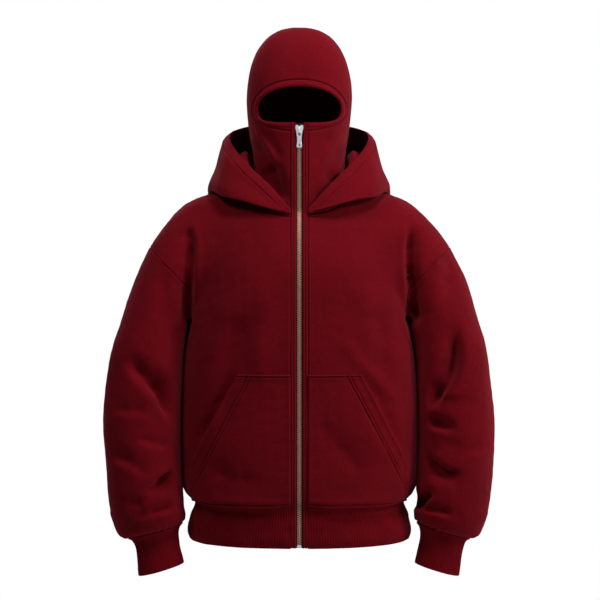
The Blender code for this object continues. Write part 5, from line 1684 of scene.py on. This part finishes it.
def merged(parts):
    """Several bmeshes as one."""
    whole = bmesh.new()
    for part in parts:
        mesh = bpy.data.meshes.new("part")
        part.to_mesh(mesh)
        whole.from_mesh(mesh)
        bpy.data.meshes.remove(mesh)
        part.free()
    return whole


def metal_object(name, work, material, node, body="garment"):
    mesh = bpy.data.meshes.new(name)
    work.to_mesh(mesh)
    work.free()
    mesh.shade_smooth()
    mesh.set_sharp_from_angle(angle=math.radians(35))
    dress(add_object(name, mesh), material, node, body)


def bail(face, hinge):
    """The slider's loop: a flat band that stands off its face and goes round the pull tab's bar."""
    y, z = hinge
    reach = LOOP_OUT - 0.6
    path = [(face + 0.5, SLIDER_HIGH - 3.2), (face - 1.2, SLIDER_HIGH - 3.6)]
    path.append((y - reach + 0.5, SLIDER_HIGH - 6.0))
    for turn in np.radians(np.linspace(0, 90, 7)):
        path.append((y - reach * math.cos(turn), z - reach * math.sin(turn)))
    path = np.array(path + [(face + 0.5, z - reach)])
    path = smooth(np.arange(len(path)), path, np.linspace(0, len(path) - 1, 34))
    along = unit(np.gradient(path, axis=0))
    work = bmesh.new()
    rings = []
    for (py, pz), (ay, az) in zip(path, along):
        row = []
        for angle in turns(12):
            c, s = math.cos(angle), math.sin(angle)
            wide = LOOP_HALF * np.sign(c) * abs(c) ** 0.6
            deep = LOOP_THIN * np.sign(s) * abs(s) ** 0.8
            row.append(work.verts.new((wide * MM, (py - az * deep) * MM, (pz + ay * deep) * MM)))
        rings.append(row)
    for one, other in zip(rings, rings[1:]):
        for k in range(len(one)):
            after = (k + 1) % len(one)
            work.faces.new((one[k], one[after], other[after], other[k]))
    work.faces.new(rings[0])
    work.faces.new(rings[-1])
    bmesh.ops.recalc_face_normals(work, faces=work.faces[:])
    return work


def zip_metal_parts(nickel):
    """The slider with its loop, the pull tab on its hinge, and the stop at the zip's lower end."""
    y = -centre_depth(np.zeros(1), np.array([PULL_Z]))[0]
    face, rear = y + SLIDER_FACE_IN, y + SLIDER_REAR_IN
    hinge = (face - PULL_PROUD, PULL_Z)
    outline = rounded(both_sides(SLIDER_OUTLINE), 1.3)
    post = [(SLIDER_POST_HALF, SLIDER_POST_TOP), (SLIDER_POST_HALF, CHAIN_TOP + 0.8)]
    post = rounded(both_sides(post), 0.8)
    parts = [
        plate([outline], SLIDER_PLATE, 0.45, (0, face + SLIDER_PLATE / 2, 0)),
        plate([outline], SLIDER_PLATE, 0.3, (0, rear + SLIDER_PLATE / 2, 0)),
        plate([post], rear - face, 0.1, (0, (face + rear + SLIDER_PLATE) / 2, 0)),
        bail(face, hinge),
    ]
    for side in (1, -1):
        rail = rounded([(side * x, z) for x, z in SLIDER_RAIL], 0.3)
        parts.append(plate([rail], 1.0, 0.3, (0, face - 0.35, 0)))
    metal_object("zip_slider_body", merged(parts), nickel, "zip_slider")

    outlines = ((TAB_OUTLINE, 1.6), (TAB_SLOT, 0.8), (TAB_HOLE, 0.6))
    outlines = [rounded(both_sides(half), radius) for half, radius in outlines]
    tab = plate(outlines, PULL_THICK, 0.32, (0, *hinge))
    metal_object("zip_pull_tab_body", tab, nickel, "zip_pull_tab", "pull_tab")

    y = -centre_depth(np.zeros(1), np.array([HEM_Z + STOP_HEIGHT / 2]))[0] + TAPE_MIDDLE
    stop = plate([rounded(STOP_OUTLINE, 1.0)], CHAIN_THICK + 0.8, 0.6, (0, y, 0))
    metal_object("zip_bottom_stop_box", stop, nickel, "zip_bottom_stop")


# ---------- light, floor and camera ----------

LIGHTS = (
    # name, place, aim, size, power
    ("key", (1.65, -1.1, 0.75), (0, 0, -0.1), 0.5, 15.5),
    ("top", (0.5, -0.8, 1.45), (0, 0, -0.05), 0.5, 13.5),
    ("left", (-1.2, -1.1, 1.45), (0, 0, -0.1), 0.5, 11),
    ("low", (1.9, -0.8, -0.7), (0.1, 0, -0.4), 0.7, 6),
    ("edge", (1.7, 0.9, 0.3), (0, 0, -0.2), 0.9, 7),
    ("behind", (-1.4, 2.4, 1.4), (0, 0, -0.2), 1.4, 22),
)
WORLD_COLOUR = (0.9, 0.93, 1, 1)
WORLD_DIM = 0.03
WORLD_GLOSS = 0.5  # the white room, as metal reflects it
FLOOR_HALF = 1.9
FLOOR_Z = -1.5
CAMERA_AWAY = 2.5
CAMERA_X = 0.0014
CAMERA_Z = -0.22


def lights():
    for name, place, aim, size, power in LIGHTS:
        data = bpy.data.lights.new(name, "AREA")
        data.size, data.energy = size, power
        lamp = add_object(name, data)
        lamp.location = place
        lamp.rotation_euler = (Vector(aim) - Vector(place)).to_track_quat("-Z", "Y").to_euler()


def backdrop():
    """White behind the garment and dim round it, a little brighter to what reflects it."""
    world = bpy.data.worlds.new("studio")
    bpy.context.scene.world = world
    nodes = Nodes(world)
    nodes.tree.nodes.clear()
    path, dim, white, mix, out = (
        nodes.add(kind)
        for kind in (
            "ShaderNodeLightPath",
            "ShaderNodeBackground",
            "ShaderNodeBackground",
            "ShaderNodeMixShader",
            "ShaderNodeOutputWorld",
        )
    )
    level = nodes.math("MULTIPLY_ADD", path.outputs["Is Glossy Ray"], WORLD_GLOSS, WORLD_DIM)
    nodes.link(level, dim.inputs["Strength"])
    dim.inputs["Color"].default_value = WORLD_COLOUR
    white.inputs["Color"].default_value = (1, 1, 1, 1)
    white.inputs["Strength"].default_value = 1.0
    nodes.link(path.outputs["Is Camera Ray"], mix.inputs["Fac"])
    nodes.link(dim.outputs[0], mix.inputs[1])
    nodes.link(white.outputs[0], mix.inputs[2])
    nodes.link(mix.outputs[0], out.inputs["Surface"])


def floor():
    mesh = bpy.data.meshes.new("floor")
    corners = ((-1, -1), (1, -1), (1, 1), (-1, 1))
    mesh.from_pydata([(x * FLOOR_HALF, y * FLOOR_HALF, FLOOR_Z) for x, y in corners], [], [(0, 1, 2, 3)])
    nodes = Nodes(bpy.data.materials.new("pale_floor"))
    nodes.colour(nodes.noise(nodes.spot(), 6), ((0.3, (0.7, 0.7, 0.7)), (0.7, (0.76, 0.76, 0.76))))
    nodes.set(Roughness=0.8)
    mesh.materials.append(nodes.owner)
    add_object("floor", mesh)


def camera():
    data = bpy.data.cameras.new("camera")
    data.lens, data.sensor_width = 75, 36
    made = add_object("camera", data)
    made.location = (CAMERA_X, -CAMERA_AWAY, CAMERA_Z)
    made.rotation_euler = (math.pi / 2, 0, 0)
    bpy.context.scene.camera = made
    bpy.context.scene.view_settings.view_transform = "Standard"


def main():
    camera()
    lights()
    backdrop()
    floor()
    fleece = knit("brushed_fleece", FLEECE, 0.0016, 0.27, 0.6)
    ribbing = knit("rib_knit", RIB, 0.0014, 0.2, 0.5)
    tape = woven_tape()
    brass = metal("antique_brass", BRASS, 0.42, 0.3)
    nickel = metal("satin_nickel", NICKEL, 0.32, 0.12)

    front = half_panel(PANEL_EDGE, -1, FRONT_COLUMNS)
    back = half_panel(0.0, 1, BACK_COLUMNS)
    below = len(TUCK_LEVELS) + BODY_ROWS - 1
    armhole = np.vstack([front[below - 1 :, -1], back[below - 1 :, -1][::-1][1:-1]])
    edges = {"low": "topstitched", "high": "topstitched", "first": "beside_zip", "last": "side_seam"}
    body_piece("front_left", front, edges, PITCH, fleece)
    edges = {**edges, "first": "side_seam", "last": "beside_zip"}
    body_piece("front_right", mirrored(front), edges, PITCH, fleece)
    edges = {"low": "topstitched", "high": "seam", "first": "side_seam", "last": "side_seam"}
    whole_back = np.concatenate([mirrored(back), back[:, 1:]], axis=1)
    body_piece("back", whole_back, edges, BACK_PITCH, fleece)
    grid = sleeve_grid(armhole)
    for side, word in ((1, "left"), (-1, "right")):
        made = sleeve_piece(word, grid, side, fleece)
        cuff_piece(word, made[-1], side, ribbing)
    half = np.vstack([front[0], back[0][::-1][1:]])
    hem_piece(np.vstack([half, (half * [-1, 1, 1])[::-1][1:]]), ribbing)
    pocket_piece("pocket_left", 1, fleece)
    pocket_piece("pocket_right", -1, fleece)
    mask_pieces(fleece)
    hood_pieces(fleece)
    placket_pieces(fleece, tape)
    zip_teeth(brass)
    zip_metal_parts(nickel)


main()
